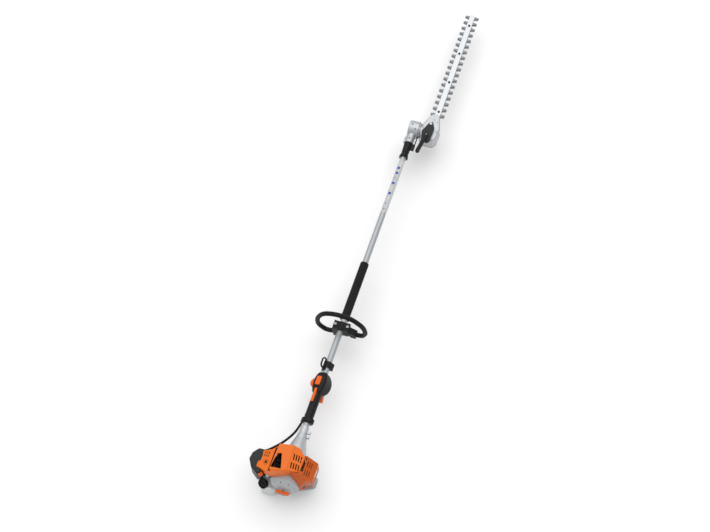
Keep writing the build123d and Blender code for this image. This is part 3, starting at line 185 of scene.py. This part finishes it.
# %% Dress a material
grain_detail = 3.0
grain_strength = 0.5
bevel_samples = 4
drift_mm = 38
drift_detail, drift_rough = 5.0, 0.6
drift_low, drift_high = 0.3, 0.7
lean_start, lean_full = 0.99, 0.8
most_wear = 0.45


def dressed(material, shader, colour, grain_mm, depth_mm, tone, edge_colour, edge_mm=0.7,
            rough_drift=0.07):
    """Grain, tone, roughness drift and worn edges on a material."""
    coords = add_node(material, "ShaderNodeTexCoord").outputs["Object"]
    fine = add_node(material, "ShaderNodeTexNoise", {"Vector": coords},
                    {"Scale": 1 / (grain_mm * mm), "Detail": grain_detail})
    rounded = add_node(material, "ShaderNodeBevel", values={"Radius": edge_mm * mm},
                       samples=bevel_samples)
    bump = add_node(material, "ShaderNodeBump",
                    {"Height": fine.outputs["Fac"], "Normal": rounded.outputs["Normal"]},
                    {"Strength": grain_strength, "Distance": depth_mm * mm})
    broad = add_node(material, "ShaderNodeTexNoise", {"Vector": coords},
                     {"Scale": 1 / (drift_mm * mm), "Detail": drift_detail, "Roughness": drift_rough})
    base = linear(colour)
    dark = [c * (1 - tone) for c in base[:3]] + [1]
    light = [min(1, c * (1 + tone)) for c in base[:3]] + [1]
    tinted = add_node(material, "ShaderNodeMix", {0: broad.outputs["Fac"]}, {6: dark, 7: light},
                      data_type="RGBA")
    flat = add_node(material, "ShaderNodeNewGeometry").outputs["True Normal"]
    lean = add_node(material, "ShaderNodeVectorMath", {0: rounded.outputs["Normal"], 1: flat},
                    operation="DOT_PRODUCT")
    edge = add_node(material, "ShaderNodeMapRange", {"Value": lean.outputs["Value"]},
                    {"From Min": lean_start, "From Max": lean_full, "To Min": 0.0, "To Max": most_wear})
    worn = add_node(material, "ShaderNodeMix", {0: edge.outputs["Result"], 6: tinted.outputs[2]},
                    {7: linear(edge_colour)}, data_type="RGBA")
    roughness = shader.inputs["Roughness"].default_value
    gloss = add_node(material, "ShaderNodeMapRange", {"Value": broad.outputs["Fac"]},
                     {"From Min": drift_low, "From Max": drift_high,
                      "To Min": roughness - rough_drift, "To Max": roughness + rough_drift})
    links = material.node_tree.links
    links.new(bump.outputs["Normal"], shader.inputs["Normal"])
    links.new(worn.outputs[2], shader.inputs["Base Color"])
    links.new(gloss.outputs["Result"], shader.inputs["Roughness"])
    return coords, bump


def moulded(name, colour, roughness, grain_mm, depth_mm, edge_colour, ior=1.53, tone=0.07,
            sheen_level=0.5):
    """Injection-moulded plastic of a colour and grain."""
    material, shader = surface(name, colour, roughness, ior=ior)
    shader.inputs["Specular IOR Level"].default_value = sheen_level
    dressed(material, shader, colour, grain_mm, depth_mm, tone, edge_colour)
    return material


# %% [markdown]
# ## The covers: ABS and glass-filled nylon
#
# The orange covers are ABS, which leaves a polished tool semi-glossy with a faint
# orange peel. Grips, clamps and the filter cover are glass-filled nylon, whose
# etched skin breaks its highlight into a soft sheen. Real etching is about 0.1 mm
# across; it is drawn near 1 mm, because finer grain doesn't show at this distance.

# %% Plastics
orange_abs = moulded("orange ABS moulding", "#E06A08", 0.36, 1.6, 0.05, "#F58F38", sheen_level=0.3)
# Painted shade: a darker copy of the orange ABS, for orange faces that fall in shade: the muffler
# guard's side and the choke dish.
painted_shade_orange_abs = moulded("orange ABS with painted shade", "#BE5208", 0.4, 1.6, 0.05, "#DF7A30",
                           sheen_level=0.25)
signal_orange = moulded("orange control plastic", "#E2600C", 0.36, 1.2, 0.04, "#F58A40",
                        sheen_level=0.3)
black_nylon = moulded("black glass-filled nylon", "#0A0B0C", 0.42, 1.0, 0.12, "#34373A", tone=0.2,
                      sheen_level=0.22)
grey_nylon = moulded("charcoal glass-filled nylon", "#15181A", 0.42, 1.0, 0.12, "#45494C", tone=0.15,
                     sheen_level=0.3)
light_abs = moulded("silver-grey filled ABS", "#A6AAAD", 0.4, 1.2, 0.06, "#D8DADC", sheen_level=0.4)

# %% [markdown]
# ## Tank, rubber and felt
#
# The tank is blow-moulded HDPE. It lets some light through, so its shader scatters
# a few millimetres under the skin. Rubber is dark, rough and slightly uneven, and
# the filter is an oiled felt.

# %% Tank, rubber, felt and gasket
skin_glow = 0.2
glow_depth = 4 * mm
tank_hdpe, tank_shader = surface("milky blow-moulded HDPE", "#C9CCCC", 0.36, ior=1.54)
tank_shader.inputs["Subsurface Weight"].default_value = skin_glow
tank_shader.inputs["Subsurface Scale"].default_value = glow_depth
dressed(tank_hdpe, tank_shader, "#C9CCCC", 3.0, 0.12, 0.05, "#E2E4E4", 1.2)
black_rubber = moulded("black moulded rubber", "#08090A", 0.5, 0.9, 0.12, "#26282A", 1.52, 0.2, 0.22)
felt = moulded("oiled filter felt", "#8F7F5E", 0.9, 1.0, 0.3, "#A39371", 1.45, 0.2)
gasket_red = moulded("red fibre gasket", "#C23A30", 0.7, 0.8, 0.05, "#D8635A")

# %% [markdown]
# ## Foam grip
#
# The fore grip is a closed-cell EVA sleeve. Each cell is a small dome with a seam
# round it, which is what a Voronoi pattern draws. The distance from each cell's
# middle drives a second bump, laid over the finer grain.

# %% Foam
cell_mm = 1.5
cell_depth_mm = 0.3
cell_strength = 0.7
foam, foam_shader = surface("closed-cell EVA foam", "#0D0E0F", 0.72, ior=1.45)
foam_shader.inputs["Specular IOR Level"].default_value = 0.3
foam_coords, foam_bump = dressed(foam, foam_shader, "#0D0E0F", 2.2, 0.1, 0.2, "#242628", 1.0)
cells = add_node(foam, "ShaderNodeTexVoronoi", {"Vector": foam_coords},
                 {"Scale": 1 / (cell_mm * mm)})
cell_bump = add_node(foam, "ShaderNodeBump",
                     {"Height": cells.outputs["Distance"], "Normal": foam_bump.outputs["Normal"]},
                     {"Strength": cell_strength, "Distance": cell_depth_mm * mm})
foam.node_tree.links.new(cell_bump.outputs["Normal"], foam_shader.inputs["Normal"])
print("foam cells of", cell_mm, "mm")

# %% [markdown]
# ## Metals
#
# Castings are shot-blasted aluminium: pale, grainy and dull, with brighter edges
# where the skin is rubbed. Small turned parts are zinc-plated steel. The muffler is
# steel that heat has browned, and the bar and case screws have a black oxide skin.
# The cylinder and crankcase take near-black as painted shade, for the darkness seen
# through the shroud's openings. A bare metal's colour is its reflection, so each
# keeps metallic at 1 and the default IOR.

# %% Castings, zinc, heat and oxide
metal_edge_mm = 0.5


def bare_metal(name, colour, roughness, grain_mm, depth_mm, edge_colour, tone=0.08):
    """Bare metal with a blasted or machined surface."""
    material, shader = surface(name, colour, roughness, metallic=1.0)
    dressed(material, shader, colour, grain_mm, depth_mm, tone, edge_colour, metal_edge_mm)
    return material


cast_aluminium = bare_metal("shot-blasted cast aluminium", "#BBBEC1", 0.5, 1.2, 0.16, "#F2F3F4")
plain_steel = bare_metal("zinc-plated steel", "#A8ABAE", 0.3, 1.5, 0.04, "#E8E9EA")
hot_steel = bare_metal("heat-browned steel", "#5B5048", 0.42, 2.0, 0.1, "#8C8076", 0.3)
oxide_steel = bare_metal("black-oxide steel", "#2E3032", 0.4, 1.2, 0.05, "#7A7D80", 0.15)
# Painted shade: near-black on the cylinder and crankcase, for the darkness seen through the shroud's
# openings.
cylinder_painted_shade = moulded("black painted shade on cylinder and crankcase", "#0C0C0C", 0.5, 1.0, 0.1, "#2A2A2A", 1.5, 0.2, 0.2)

# %% [markdown]
# ## Pole: silver powder coat
#
# The drive tube is aluminium under a silver powder coat. Flakes in the powder make
# it half metallic, and the clear layer over them is the coat of the shader. Powder
# levels out with a fine orange peel of about 1 mm.

# %% Powder coat
pole_paint, pole_shader = surface("silver powder coat", "#A3A6A9", 0.36, metallic=0.6)
pole_shader.inputs["Coat Weight"].default_value = 0.35
pole_shader.inputs["Coat Roughness"].default_value = 0.25
dressed(pole_paint, pole_shader, "#A3A6A9", 1.0, 0.03, 0.03, "#D8DADC", 0.5)

# %% [markdown]
# ## Blades: ground and blackened steel
#
# The guide bar is ground bright along its length, so its scratches run along X: the
# coordinates are squeezed in that direction, which stretches the noise into lines.
# The two cutters are hardened and left darker, with bright ground edges.

# %% Bar and cutters
line_mm = 0.9
line_depth_mm = 0.05
line_stretch = 0.03
line_detail, line_strength = 4.0, 0.5


def ground_steel(name, colour, roughness, edge_colour, edge_mm):
    """Steel with fine grinding lines along X."""
    material, shader = surface(name, colour, roughness, metallic=1.0)
    coords, bump = dressed(material, shader, colour, 2.0, 0.02, 0.1, edge_colour, edge_mm)
    squeezed = add_node(material, "ShaderNodeMapping", {"Vector": coords},
                        {"Scale": (line_stretch, 1, 1)})
    lines = add_node(material, "ShaderNodeTexNoise", {"Vector": squeezed.outputs["Vector"]},
                     {"Scale": 1 / (line_mm * mm), "Detail": line_detail})
    line_bump = add_node(material, "ShaderNodeBump",
                         {"Height": lines.outputs["Fac"], "Normal": bump.outputs["Normal"]},
                         {"Strength": line_strength, "Distance": line_depth_mm * mm})
    material.node_tree.links.new(line_bump.outputs["Normal"], shader.inputs["Normal"])
    return material


bar_steel = ground_steel("bright ground bar steel", "#C0C3C6", 0.32, "#F4F5F6", 0.8)
cutter_steel = ground_steel("hardened cutter steel", "#7C8083", 0.34, "#F0F2F4", 1.2)

# %% [markdown]
# ## One finish for each CAD part
#
# A part whose CAD shape is right stays as it is and only takes a finish. The parts
# that get a modelled piece of their own come after this.

# %% Finishes on the CAD parts
finishes = {
    orange_abs: ["shroud_top"],
    # Painted shade: the muffler guard takes the darker copy of the orange.
    painted_shade_orange_abs: ["muffler_guard"],
    signal_orange: ["starter_grip", "lockout_lever", "stop_button", "speed_wheel", "choke_lever",
                    "throttle_trigger"],
    black_nylon: ["ignition_module", "starter_pulley", "carburettor", "filter_base", "fuel_cap",
                  "handle_shell_left", "handle_shell_right", "carrying_eye", "harness_clamp",
                  "loop_clamp_base", "loop_clamp_cap", "locking_sleeve", "swivel_lever",
                  "shaft_bushings"],
    grey_nylon: ["filter_cover", "gearbox_cover"],
    light_abs: ["support_stand", "starter_cover"],
    tank_hdpe: ["fuel_tank", "primer_bulb"],
    black_rubber: ["plug_boot", "starter_rope", "throttle_cable", "loop_handlebar"],
    foam: ["foam_grip"],
    felt: ["filter_element"],
    gasket_red: ["gearbox_gasket"],
    # Painted shade: the cylinder and crankcase take the near-black.
    cylinder_painted_shade: ["cylinder", "crankcase"],
    hot_steel: ["muffler"],
    oxide_steel: ["bar_screws", "case_screws"],
    cast_aluminium: ["piston", "flywheel", "shaft_gearbox", "blade_gearbox", "gearbox_base",
                     "clutch_housing"],
    plain_steel: ["spark_plug", "crankshaft", "clutch_shoes", "clutch_drum", "recoil_spring",
                  "drive_shaft", "drive_pinion", "pivot_gears", "crank_gear", "loop_clamp_bolts"],
    pole_paint: ["drive_tube"],
    bar_steel: ["guide_bar"],
    cutter_steel: ["upper_blade", "lower_blade"],
}
for material, names in finishes.items():
    for name in names:
        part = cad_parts[name]
        part.data.materials.clear()
        part.data.materials.append(material)
finished = {name for names in finishes.values() for name in names}
print("parts with no finish:", sorted(set(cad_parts) - finished))

# %% [markdown]
# ## Helpers for modelling
#
# Every new piece starts as a primitive, is shaped in edit mode, and ends with its
# object at the origin and its place in its mesh, as the CAD parts are. Faces are
# picked by where they are and which way they look, as a hand would pick them.

# %% Modelling helpers
def back_to_object():
    """Leaves edit mode."""
    bpy.ops.object.mode_set(mode="OBJECT")


def deselect_all():
    """Nothing selected and object mode, so the next operator acts on one piece."""
    if bpy.context.object and bpy.context.object.mode != "OBJECT":
        back_to_object()
    bpy.ops.object.select_all(action="DESELECT")


def pick_faces(piece, wanted):
    """Enters edit mode with only the faces selected that pass the test, and counts them."""
    bpy.ops.object.mode_set(mode="EDIT")
    bpy.ops.mesh.select_mode(type="FACE")
    bpy.ops.mesh.select_all(action="DESELECT")
    back_to_object()
    for face in piece.data.polygons:
        face.select = wanted(face.center, face.normal)
    picked = sum(face.select for face in piece.data.polygons)
    bpy.ops.object.mode_set(mode="EDIT")
    return picked


def settle(piece, name, material, body=None, place=None, smooth_deg=35):
    """Places the mesh, names it, gives it its finish and lets it ride on a body, if any."""
    deselect_all()
    if place:
        piece.data.transform(place)
    piece.name = name
    piece.data.materials.clear()
    piece.data.materials.append(material)
    piece.select_set(True)
    bpy.context.view_layer.objects.active = piece
    bpy.ops.object.shade_smooth_by_angle(angle=radians(smooth_deg))
    piece.select_set(False)
    if body:
        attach(piece, body)


def block(low, high):
    """A cube with its corners at two points, its size in its mesh."""
    deselect_all()
    bpy.ops.mesh.primitive_cube_add(size=1, location=(low + high) / 2)
    cube = bpy.context.object
    cube.scale = high - low
    bpy.ops.object.transform_apply(location=True, rotation=True, scale=True)
    return cube


def insets(steps):
    """Insets the picked faces step by step, each step a width and a rise in metres."""
    for width, rise in steps:
        bpy.ops.mesh.inset(thickness=width, depth=rise)


def apply_rounding(piece, width, segments):
    """Rounds every edge with a Bevel modifier and applies it."""
    rounding = piece.modifiers.new("rounding", "BEVEL")
    rounding.width = width
    rounding.segments = segments
    bpy.ops.object.modifier_apply(modifier="rounding")


def join_into(piece, others):
    """Joins the other pieces into the first."""
    deselect_all()
    for other in others:
        other.select_set(True)
    piece.select_set(True)
    bpy.context.view_layer.objects.active = piece
    bpy.ops.object.join()


def stood_on(spot, direction):
    """Matrix that moves a piece modelled along +Z to a spot, looking in a direction."""
    return Matrix.Translation(spot) @ Vector(direction).to_track_quat("Z", "Y").to_matrix().to_4x4()


# %% [markdown]
# ## Fuel cap
#
# The cap is a screw cap with ribs for gloved fingers and a raised bar across its
# face. The ribs could be separate blocks, but insetting every second side face
# outward keeps one clean moulded skin. Then the face is inset and sunk, and the bar
# is a second primitive, bevelled and joined.

# %% Ribbed fuel cap
cap_axis = Vector((-0.72, 0.32, 0.62)).normalized()
neck_end = Vector((-54, 79, 91)) * mm
cap_h = 12.6 * mm
cap_seat_gap = 0.25 * mm
cap_r = 18.8 * mm
rib_count = 28
rib_margin, rib_rise = 0.25 * mm, 0.9 * mm
rim_steps = [(1.2 * mm, 0.8 * mm), (2.2 * mm, 0), (0.5 * mm, -3.2 * mm)]
bar_size = Vector((29 * mm, 7 * mm, 4.6 * mm))
bar_middle_z = cap_h - 1.8 * mm
bar_round = 1.2 * mm

deselect_all()
bpy.ops.mesh.primitive_cylinder_add(vertices=2 * rib_count, radius=cap_r, depth=cap_h,
                                    location=(0, 0, cap_h / 2))
cap = bpy.context.object
bpy.ops.object.transform_apply(location=True, rotation=True, scale=True)
side_faces = [f.index for f in cap.data.polygons if abs(f.normal.z) < 0.5]
every_second = set(side_faces[::2])
centres = {tuple(round(c, 6) for c in cap.data.polygons[i].center) for i in every_second}
ribs = pick_faces(cap, lambda c, n: tuple(round(v, 6) for v in c) in centres)
bpy.ops.mesh.inset(thickness=rib_margin, depth=rib_rise, use_individual=True)
pick_faces(cap, lambda c, n: n.z > 0.9)
insets(rim_steps)
back_to_object()
bar_middle = Vector((0, 0, bar_middle_z))
grip_bar = block(bar_middle - bar_size / 2, bar_middle + bar_size / 2)
apply_rounding(grip_bar, bar_round, 3)
join_into(cap, [grip_bar])
settle(cap, "fuel_cap_ribbed", black_nylon, "cap",
       stood_on(neck_end + cap_seat_gap * cap_axis, cap_axis))
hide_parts("fuel_cap")
print("ribs on the cap", ribs)

# %% [markdown]
# ## Throttle cable in its ribbed sleeve
#
# The cable runs in a corrugated sleeve from the handle to the air filter's housing.
# One smooth NURBS line carries it. A round bevel on that line gives the core, and a
# ring that is modelled once is copied along it, a few millimetres apart, each copy
# turned to the way the line runs.

# %% Line, core and rings
cable_route = [(206.5, 20.5, 113), (170, 27, 117), (146, 34.5, 125), (118, 46, 137),
               (92, 60, 147), (68, 79, 154), (50, 96, 157), (44, 104, 157.5)]
core_r = 4.0 * mm
ring_r = 0.7 * mm
ring_step = 3.2 * mm
ring_rise = 0.1 * mm

curve = bpy.data.curves.new("cable_line", "CURVE")
curve.dimensions = "3D"
spline = curve.splines.new("NURBS")
spline.points.add(len(cable_route) - 1)
for point, spot in zip(spline.points, cable_route):
    point.co = (*(v * mm for v in spot), 1)
spline.order_u = 3
spline.use_endpoint_u = True
curve.resolution_u = 24
cable_line = bpy.data.objects.new("cable_line", curve)
bpy.context.scene.collection.objects.link(cable_line)
line_points = [v.co.copy() for v in bpy.data.meshes.new_from_object(cable_line).vertices]
curve.bevel_depth = core_r
curve.bevel_resolution = 5
curve.use_fill_caps = True
deselect_all()
cable_line.select_set(True)
bpy.context.view_layer.objects.active = cable_line
bpy.ops.object.convert(target="MESH")
cable = bpy.context.object

deselect_all()
bpy.ops.mesh.primitive_torus_add(major_segments=24, minor_segments=8, major_radius=core_r + ring_rise,
                                 minor_radius=ring_r)
first_ring = bpy.context.object
rings = []
travelled = 0.0
for before, after in zip(line_points, line_points[1:]):
    travelled += (after - before).length
    if travelled >= ring_step:
        travelled -= ring_step
        ring = bpy.data.objects.new("ring", first_ring.data.copy())
        ring.data.transform(stood_on(after, after - before))
        bpy.context.scene.collection.objects.link(ring)
        rings.append(ring)
bpy.data.objects.remove(first_ring)
join_into(cable, rings)
settle(cable, "throttle_cable_sleeve", black_rubber, "housing")
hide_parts("throttle_cable")
print("rings on the sleeve", len(rings))

# %% [markdown]
# ## Starter rope
#
# The rope joins the engine to the pull grip, and those move apart when it is
# pulled. The piece is a short twisted cord laid in the gap between the two, and it
# rides on no body. It could be three separate strands. Here a cylinder is cut into
# many rings by bisecting, and each ring's points are moved in and out in three lobes
# that turn from ring to ring, which gives the same spiral in one skin.

# %% Laid rope
rope_y, rope_z = 0.0, 104 * mm
rope_low, rope_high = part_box("starter_rope")
rope_r = 1.75 * mm
rope_in, rope_out = rope_high.x + 6 * mm, rope_low.x - 1 * mm
rope_run = rope_in - rope_out
lay_turns = 2.0
ring_total = 24
strand_total, strand_depth = 3, 0.14
strand_fill = 0.88

deselect_all()
bpy.ops.mesh.primitive_cylinder_add(vertices=18, radius=rope_r, depth=rope_run)
rope = bpy.context.object
pick_faces(rope, lambda c, n: abs(n.z) < 0.5)
bpy.ops.mesh.subdivide(number_cuts=1)
back_to_object()
for cut in range(1, ring_total):
    height = (cut / ring_total - 0.5) * rope_run
    bpy.ops.object.mode_set(mode="EDIT")
    bpy.ops.mesh.select_all(action="SELECT")
    bpy.ops.mesh.bisect(plane_co=(0, 0, height), plane_no=(0, 0, 1))
back_to_object()
for vertex in rope.data.vertices:
    along = vertex.co.z / rope_run + 0.5
    angle = vertex.co.xy.angle_signed(Vector((1, 0))) if vertex.co.xy.length > 0 else 0
    strand = 1 + strand_depth * cos(strand_total * angle + lay_turns * 2 * pi * along)
    vertex.co.x *= strand * strand_fill
    vertex.co.y *= strand * strand_fill
rope_middle = Vector(((rope_in + rope_out) / 2, rope_y, rope_z))
settle(rope, "starter_rope_laid", black_rubber, None, stood_on(rope_middle, (1, 0, 0)))
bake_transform(rope)
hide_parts("starter_rope")
print("rope from", round(rope_in, 4), "to", round(rope_out, 4))

# %% [markdown]
# ## Dark trays under the shroud, as painted shade
#
# Under the shroud, black trays are painted shade: they stand where only shade
# would show, and they are why the openings look black. A flat plate would do, but a
# real tray has a turned rim and a pressed rib that stiffens it. One function models a
# tray: a flat block whose top is inset and sunk to leave the rim, then subdivided,
# with the middle row of faces drawn up again as the rib. One tray lies beside the
# cylinder, one under the wing over the carburettor, and one at the muffler's pole side.

# %% Three trays
tray_t = 3 * mm
tray_rim = 1.5 * mm
tray_step = 0.3 * mm
tray_sink = 1.6 * mm
tray_cuts = 6
tray_rib_rise = 1.2 * mm
tray_rib_share = 0.06


def painted_shade_tray(name, x_range, y_range, z_floor):
    """A black tray of painted shade, with a rim and one rib along X, between the given sides in mm."""
    low = Vector((x_range[0], y_range[0], z_floor)) * mm
    high = Vector((x_range[1], y_range[1], z_floor)) * mm + Vector((0, 0, tray_t))
    tray = block(low, high)
    pick_faces(tray, lambda c, n: n.z > 0.9)
    insets([(tray_rim, 0), (tray_step, -tray_sink)])
    bpy.ops.mesh.subdivide(number_cuts=tray_cuts)
    back_to_object()
    middle = (low.y + high.y) / 2
    rib_half = tray_rib_share * (high.y - low.y)
    rib_faces = pick_faces(tray, lambda c, n: n.z > 0.9 and c.z < high.z - 1 * mm
                           and abs(c.y - middle) < rib_half)
    insets([(tray_step, tray_rib_rise)])
    back_to_object()
    settle(tray, name, black_nylon, "housing")
    print(name, "with", rib_faces, "rib faces")


# Painted shade: each dark tray stands where only shade shows through the shroud's openings.
painted_shade_tray("cylinder_shade_tray", (-34, 60), (31, 57), 158)
painted_shade_tray("carburettor_shade_tray", (-38, 42), (58, 84), 182)
painted_shade_tray("muffler_shade_tray", (44, 62), (-50, -14), 170)

# %% [markdown]
# ## Recess round the choke access hole
#
# The wing of the shroud has a dished recess round its round hole, where the choke's
# spindle is reached. The dish is a short cylinder whose top is raised to a rim, sunk,
# and sunk again at its middle, so that its rim catches the light and its floor stays
# in shade. The dish takes the darker orange, which is painted shade, and its middle
# takes black plastic as painted shade, because only darkness shows in the hole.

# %% Dish round the hole
def surface_spot(node, start, direction):
    """Where a ray meets a CAD part, and the way the surface looks there."""
    _, spot, normal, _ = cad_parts[node].ray_cast(Vector(start), Vector(direction))
    return spot, normal


dish_r, dish_h = 10.5 * mm, 1.6 * mm
hole_x, hole_y = -0.011, 0.079
rim_x = hole_x + 10 * mm
above = 0.4
dish_lift = 0.1 * mm
dish_steps = [(1.0 * mm, 0.3 * mm), (0.8 * mm, -1.2 * mm), (3.4 * mm, 0), (0.4 * mm, -0.4 * mm)]
dish_eye_r = 5.6 * mm

rim_spot, rim_normal = surface_spot("shroud_top", (rim_x, hole_y, above), (0, 0, -1))
hole_middle = Vector((hole_x, hole_y, rim_spot.z + dish_lift))

deselect_all()
bpy.ops.mesh.primitive_cylinder_add(vertices=48, radius=dish_r, depth=dish_h)
dish = bpy.context.object
pick_faces(dish, lambda c, n: n.z > 0.9)
insets(dish_steps)
back_to_object()
settle(dish, "choke_access_dish", painted_shade_orange_abs, "housing", stood_on(hole_middle, rim_normal))
# Painted shade: the dish's middle takes black, for the darkness in the hole.
pick_faces(dish, lambda c, n: (c - hole_middle).length < dish_eye_r)
dish.data.materials.append(black_nylon)
dish.active_material_index = 1
bpy.ops.object.material_slot_assign()
back_to_object()
print("dish at", [round(v, 4) for v in hole_middle])

# %% [markdown]
# ## Starter grip
#
# The pull grip is a rounded bar with grooves for the fingers. Its cube is bevelled
# on every edge with a modifier, then sliced across by bisecting, and every second
# slice of skin is inset and sunk to make the grooves.

# %% Grooved grip
grip_low, grip_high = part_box("starter_grip")
grip_round = 4.2 * mm
groove_total = 5
groove_w = 2.4 * mm
groove_pitch = 6.5 * mm
groove_step, groove_depth = 0.2 * mm, 1.1 * mm
groove_spots = [(k - (groove_total - 1) / 2) * groove_pitch for k in range(groove_total)]

pull_bar = block(grip_low, grip_high)
apply_rounding(pull_bar, grip_round, 5)
for spot in groove_spots:
    for edge_y in (spot - groove_w / 2, spot + groove_w / 2):
        bpy.ops.object.mode_set(mode="EDIT")
        bpy.ops.mesh.select_all(action="SELECT")
        bpy.ops.mesh.bisect(plane_co=(0, edge_y, 0), plane_no=(0, 1, 0))
back_to_object()
grooves = pick_faces(pull_bar, lambda c, n: any(abs(c.y - g) < groove_w / 4 for g in groove_spots))
insets([(groove_step, -groove_depth)])
back_to_object()
settle(pull_bar, "starter_grip_grooved", signal_orange, "pull_grip")
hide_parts("starter_grip")
print("grooved faces", grooves)

# %% [markdown]
# ## Label film on the pole
#
# Near the gearbox the pole carries a clear film with small coloured marks. The film
# is a cylinder a tenth of a millimetre thick, slightly larger than the tube, with
# its end caps removed and a Solidify modifier for its thickness. It ends short of
# the locking sleeve, so that the sleeve can slide. The marks are plain discs,
# triangles and diamonds without any sign in them, cut from thin sheet and bent
# round the tube by moving their points onto its radius.

# %% Film and marks
film_x0, film_x1 = 1.190, 1.466
film_gap = 0.1 * mm
film_t = 0.12 * mm
film_alpha = 0.45
mark_gap, mark_t = 0.06 * mm, 0.08 * mm
mark_side_r, mark_disc_r = 8.0 * mm, 7.0 * mm
mark_inset = 0.45
mark_tilt = radians(-8)
end_margin = 0.018
mark_total = 10
blue_marks, yellow_marks = (3, 5, 7, 8), (2, 4, 9)

film_material, film_shader = surface("clear polyester film", "#E2E5E8", 0.22, ior=1.6)
dressed(film_material, film_shader, "#E2E5E8", 4.0, 0.02, 0.03, "#FFFFFF", 0.2, 0.04)
film_shader.inputs["Alpha"].default_value = film_alpha
mark_blue = moulded("blue printed vinyl", "#2A4C9B", 0.35, 1.0, 0.01, "#3B60B5", 1.5)
mark_yellow = moulded("yellow printed vinyl", "#E9C21B", 0.35, 1.0, 0.01, "#F3D65A", 1.5)
mark_grey = moulded("grey printed vinyl", "#5A5D61", 0.35, 1.0, 0.01, "#7A7D81", 1.5)

deselect_all()
bpy.ops.mesh.primitive_cylinder_add(vertices=64, radius=tube_r + film_gap, depth=film_x1 - film_x0)
film = bpy.context.object
pick_faces(film, lambda c, n: abs(n.z) > 0.9)
bpy.ops.mesh.delete(type="FACE")
back_to_object()
shell = film.modifiers.new("shell", "SOLIDIFY")
shell.thickness = film_t
shell.offset = 1
bpy.ops.object.modifier_apply(modifier="shell")
film_middle = Vector(((film_x0 + film_x1) / 2, 0, shaft_z))
settle(film, "label_film", film_material, "housing", stood_on(film_middle, (1, 0, 0)))


def mark_on_pole(name, material, x, sides, size):
    """A thin printed mark of so many sides, wrapped on the film at a place along the pole."""
    deselect_all()
    bpy.ops.mesh.primitive_circle_add(vertices=sides, radius=size, fill_type="NGON")
    mark = bpy.context.object
    bpy.ops.object.mode_set(mode="EDIT")
    bpy.ops.mesh.inset(thickness=size * mark_inset, depth=0)
    bpy.ops.mesh.poke()
    bpy.ops.mesh.subdivide(number_cuts=2)
    back_to_object()
    wrap_r = tube_r + film_gap + film_t + mark_gap
    for vertex in mark.data.vertices:
        round_angle = mark_tilt + vertex.co.y / wrap_r
        vertex.co = (x + vertex.co.x, -sin(round_angle) * wrap_r,
                     shaft_z + cos(round_angle) * wrap_r)
    thickening = mark.modifiers.new("sheet", "SOLIDIFY")
    thickening.thickness = mark_t
    thickening.offset = 0
    bpy.ops.object.modifier_apply(modifier="sheet")
    settle(mark, name, material, "housing", smooth_deg=60)


for k in range(mark_total):
    x = film_x0 + end_margin + k * (film_x1 - film_x0 - 2 * end_margin) / (mark_total - 1)
    ink, sides, size = mark_grey, 4, mark_side_r
    if k in blue_marks:
        ink, sides, size = mark_blue, 20, mark_disc_r
    elif k in yellow_marks:
        ink, sides, size = mark_yellow, 3, mark_side_r
    mark_on_pole(f"label_mark_{k}", ink, x, sides, size)
print("film", round(film_x1 - film_x0, 3), "m long with", mark_total, "marks")

# %% [markdown]
# ## Screws on the outside
#
# The castings and mouldings are held by socket-head screws. One is modelled: a
# cylinder whose top is inset and raised to a sloped rim, then sunk for the key.
# Copies then go to each spot, each copy with its own mesh, and sit a little in the
# surface. A ray finds the surface, so that they follow the CAD part under them.

# %% One screw, copied
head_r, head_h = 3.4 * mm, 2.2 * mm
head_steps = [(0.35 * mm, 0.3 * mm), (1.2 * mm, 0), (0.15 * mm, -1.4 * mm)]
head_sink = 0.3 * mm
down, inward = (0, 0, -1), (0, -1, 0)
far_y = 0.2

deselect_all()
bpy.ops.mesh.primitive_cylinder_add(vertices=24, radius=head_r, depth=head_h)
screw_head = bpy.context.object
pick_faces(screw_head, lambda c, n: n.z > 0.9)
insets(head_steps)
back_to_object()
print("screw head faces", len(screw_head.data.polygons))

screw_spots = [
    ("shaft_gearbox", (1.640, 0.006, above), down, "housing", oxide_steel),
    ("shaft_gearbox", (1.622, -0.012, above), down, "housing", oxide_steel),
    ("shaft_gearbox", (1.580, 0.000, above), down, "housing", oxide_steel),
    ("blade_gearbox", (1.700, -0.075, above), down, "head", plain_steel),
    ("blade_gearbox", (1.640, -0.101, above), down, "head", plain_steel),
    ("blade_gearbox", (1.690, -0.092, above), down, "head", plain_steel),
    ("swivel_lever", (1.604, -0.0665, above), down, "head", plain_steel),
    ("handle_shell_left", (0.240, far_y, 0.118), inward, "housing", oxide_steel),
    ("handle_shell_left", (0.310, far_y, 0.112), inward, "housing", oxide_steel),
    ("handle_shell_left", (0.405, far_y, 0.118), inward, "housing", oxide_steel),
    ("clutch_housing", (0.080, 0.0, above), down, "housing", plain_steel),
]
for k, (node, start, direction, body, finish) in enumerate(screw_spots):
    spot, normal = surface_spot(node, start, direction)
    copy = bpy.data.objects.new("screw", screw_head.data.copy())
    bpy.context.scene.collection.objects.link(copy)
    settle(copy, f"screw_{k:02d}", finish, body, stood_on(spot - normal * head_sink, normal))
bpy.data.objects.remove(screw_head)
print("screws placed", len(screw_spots))
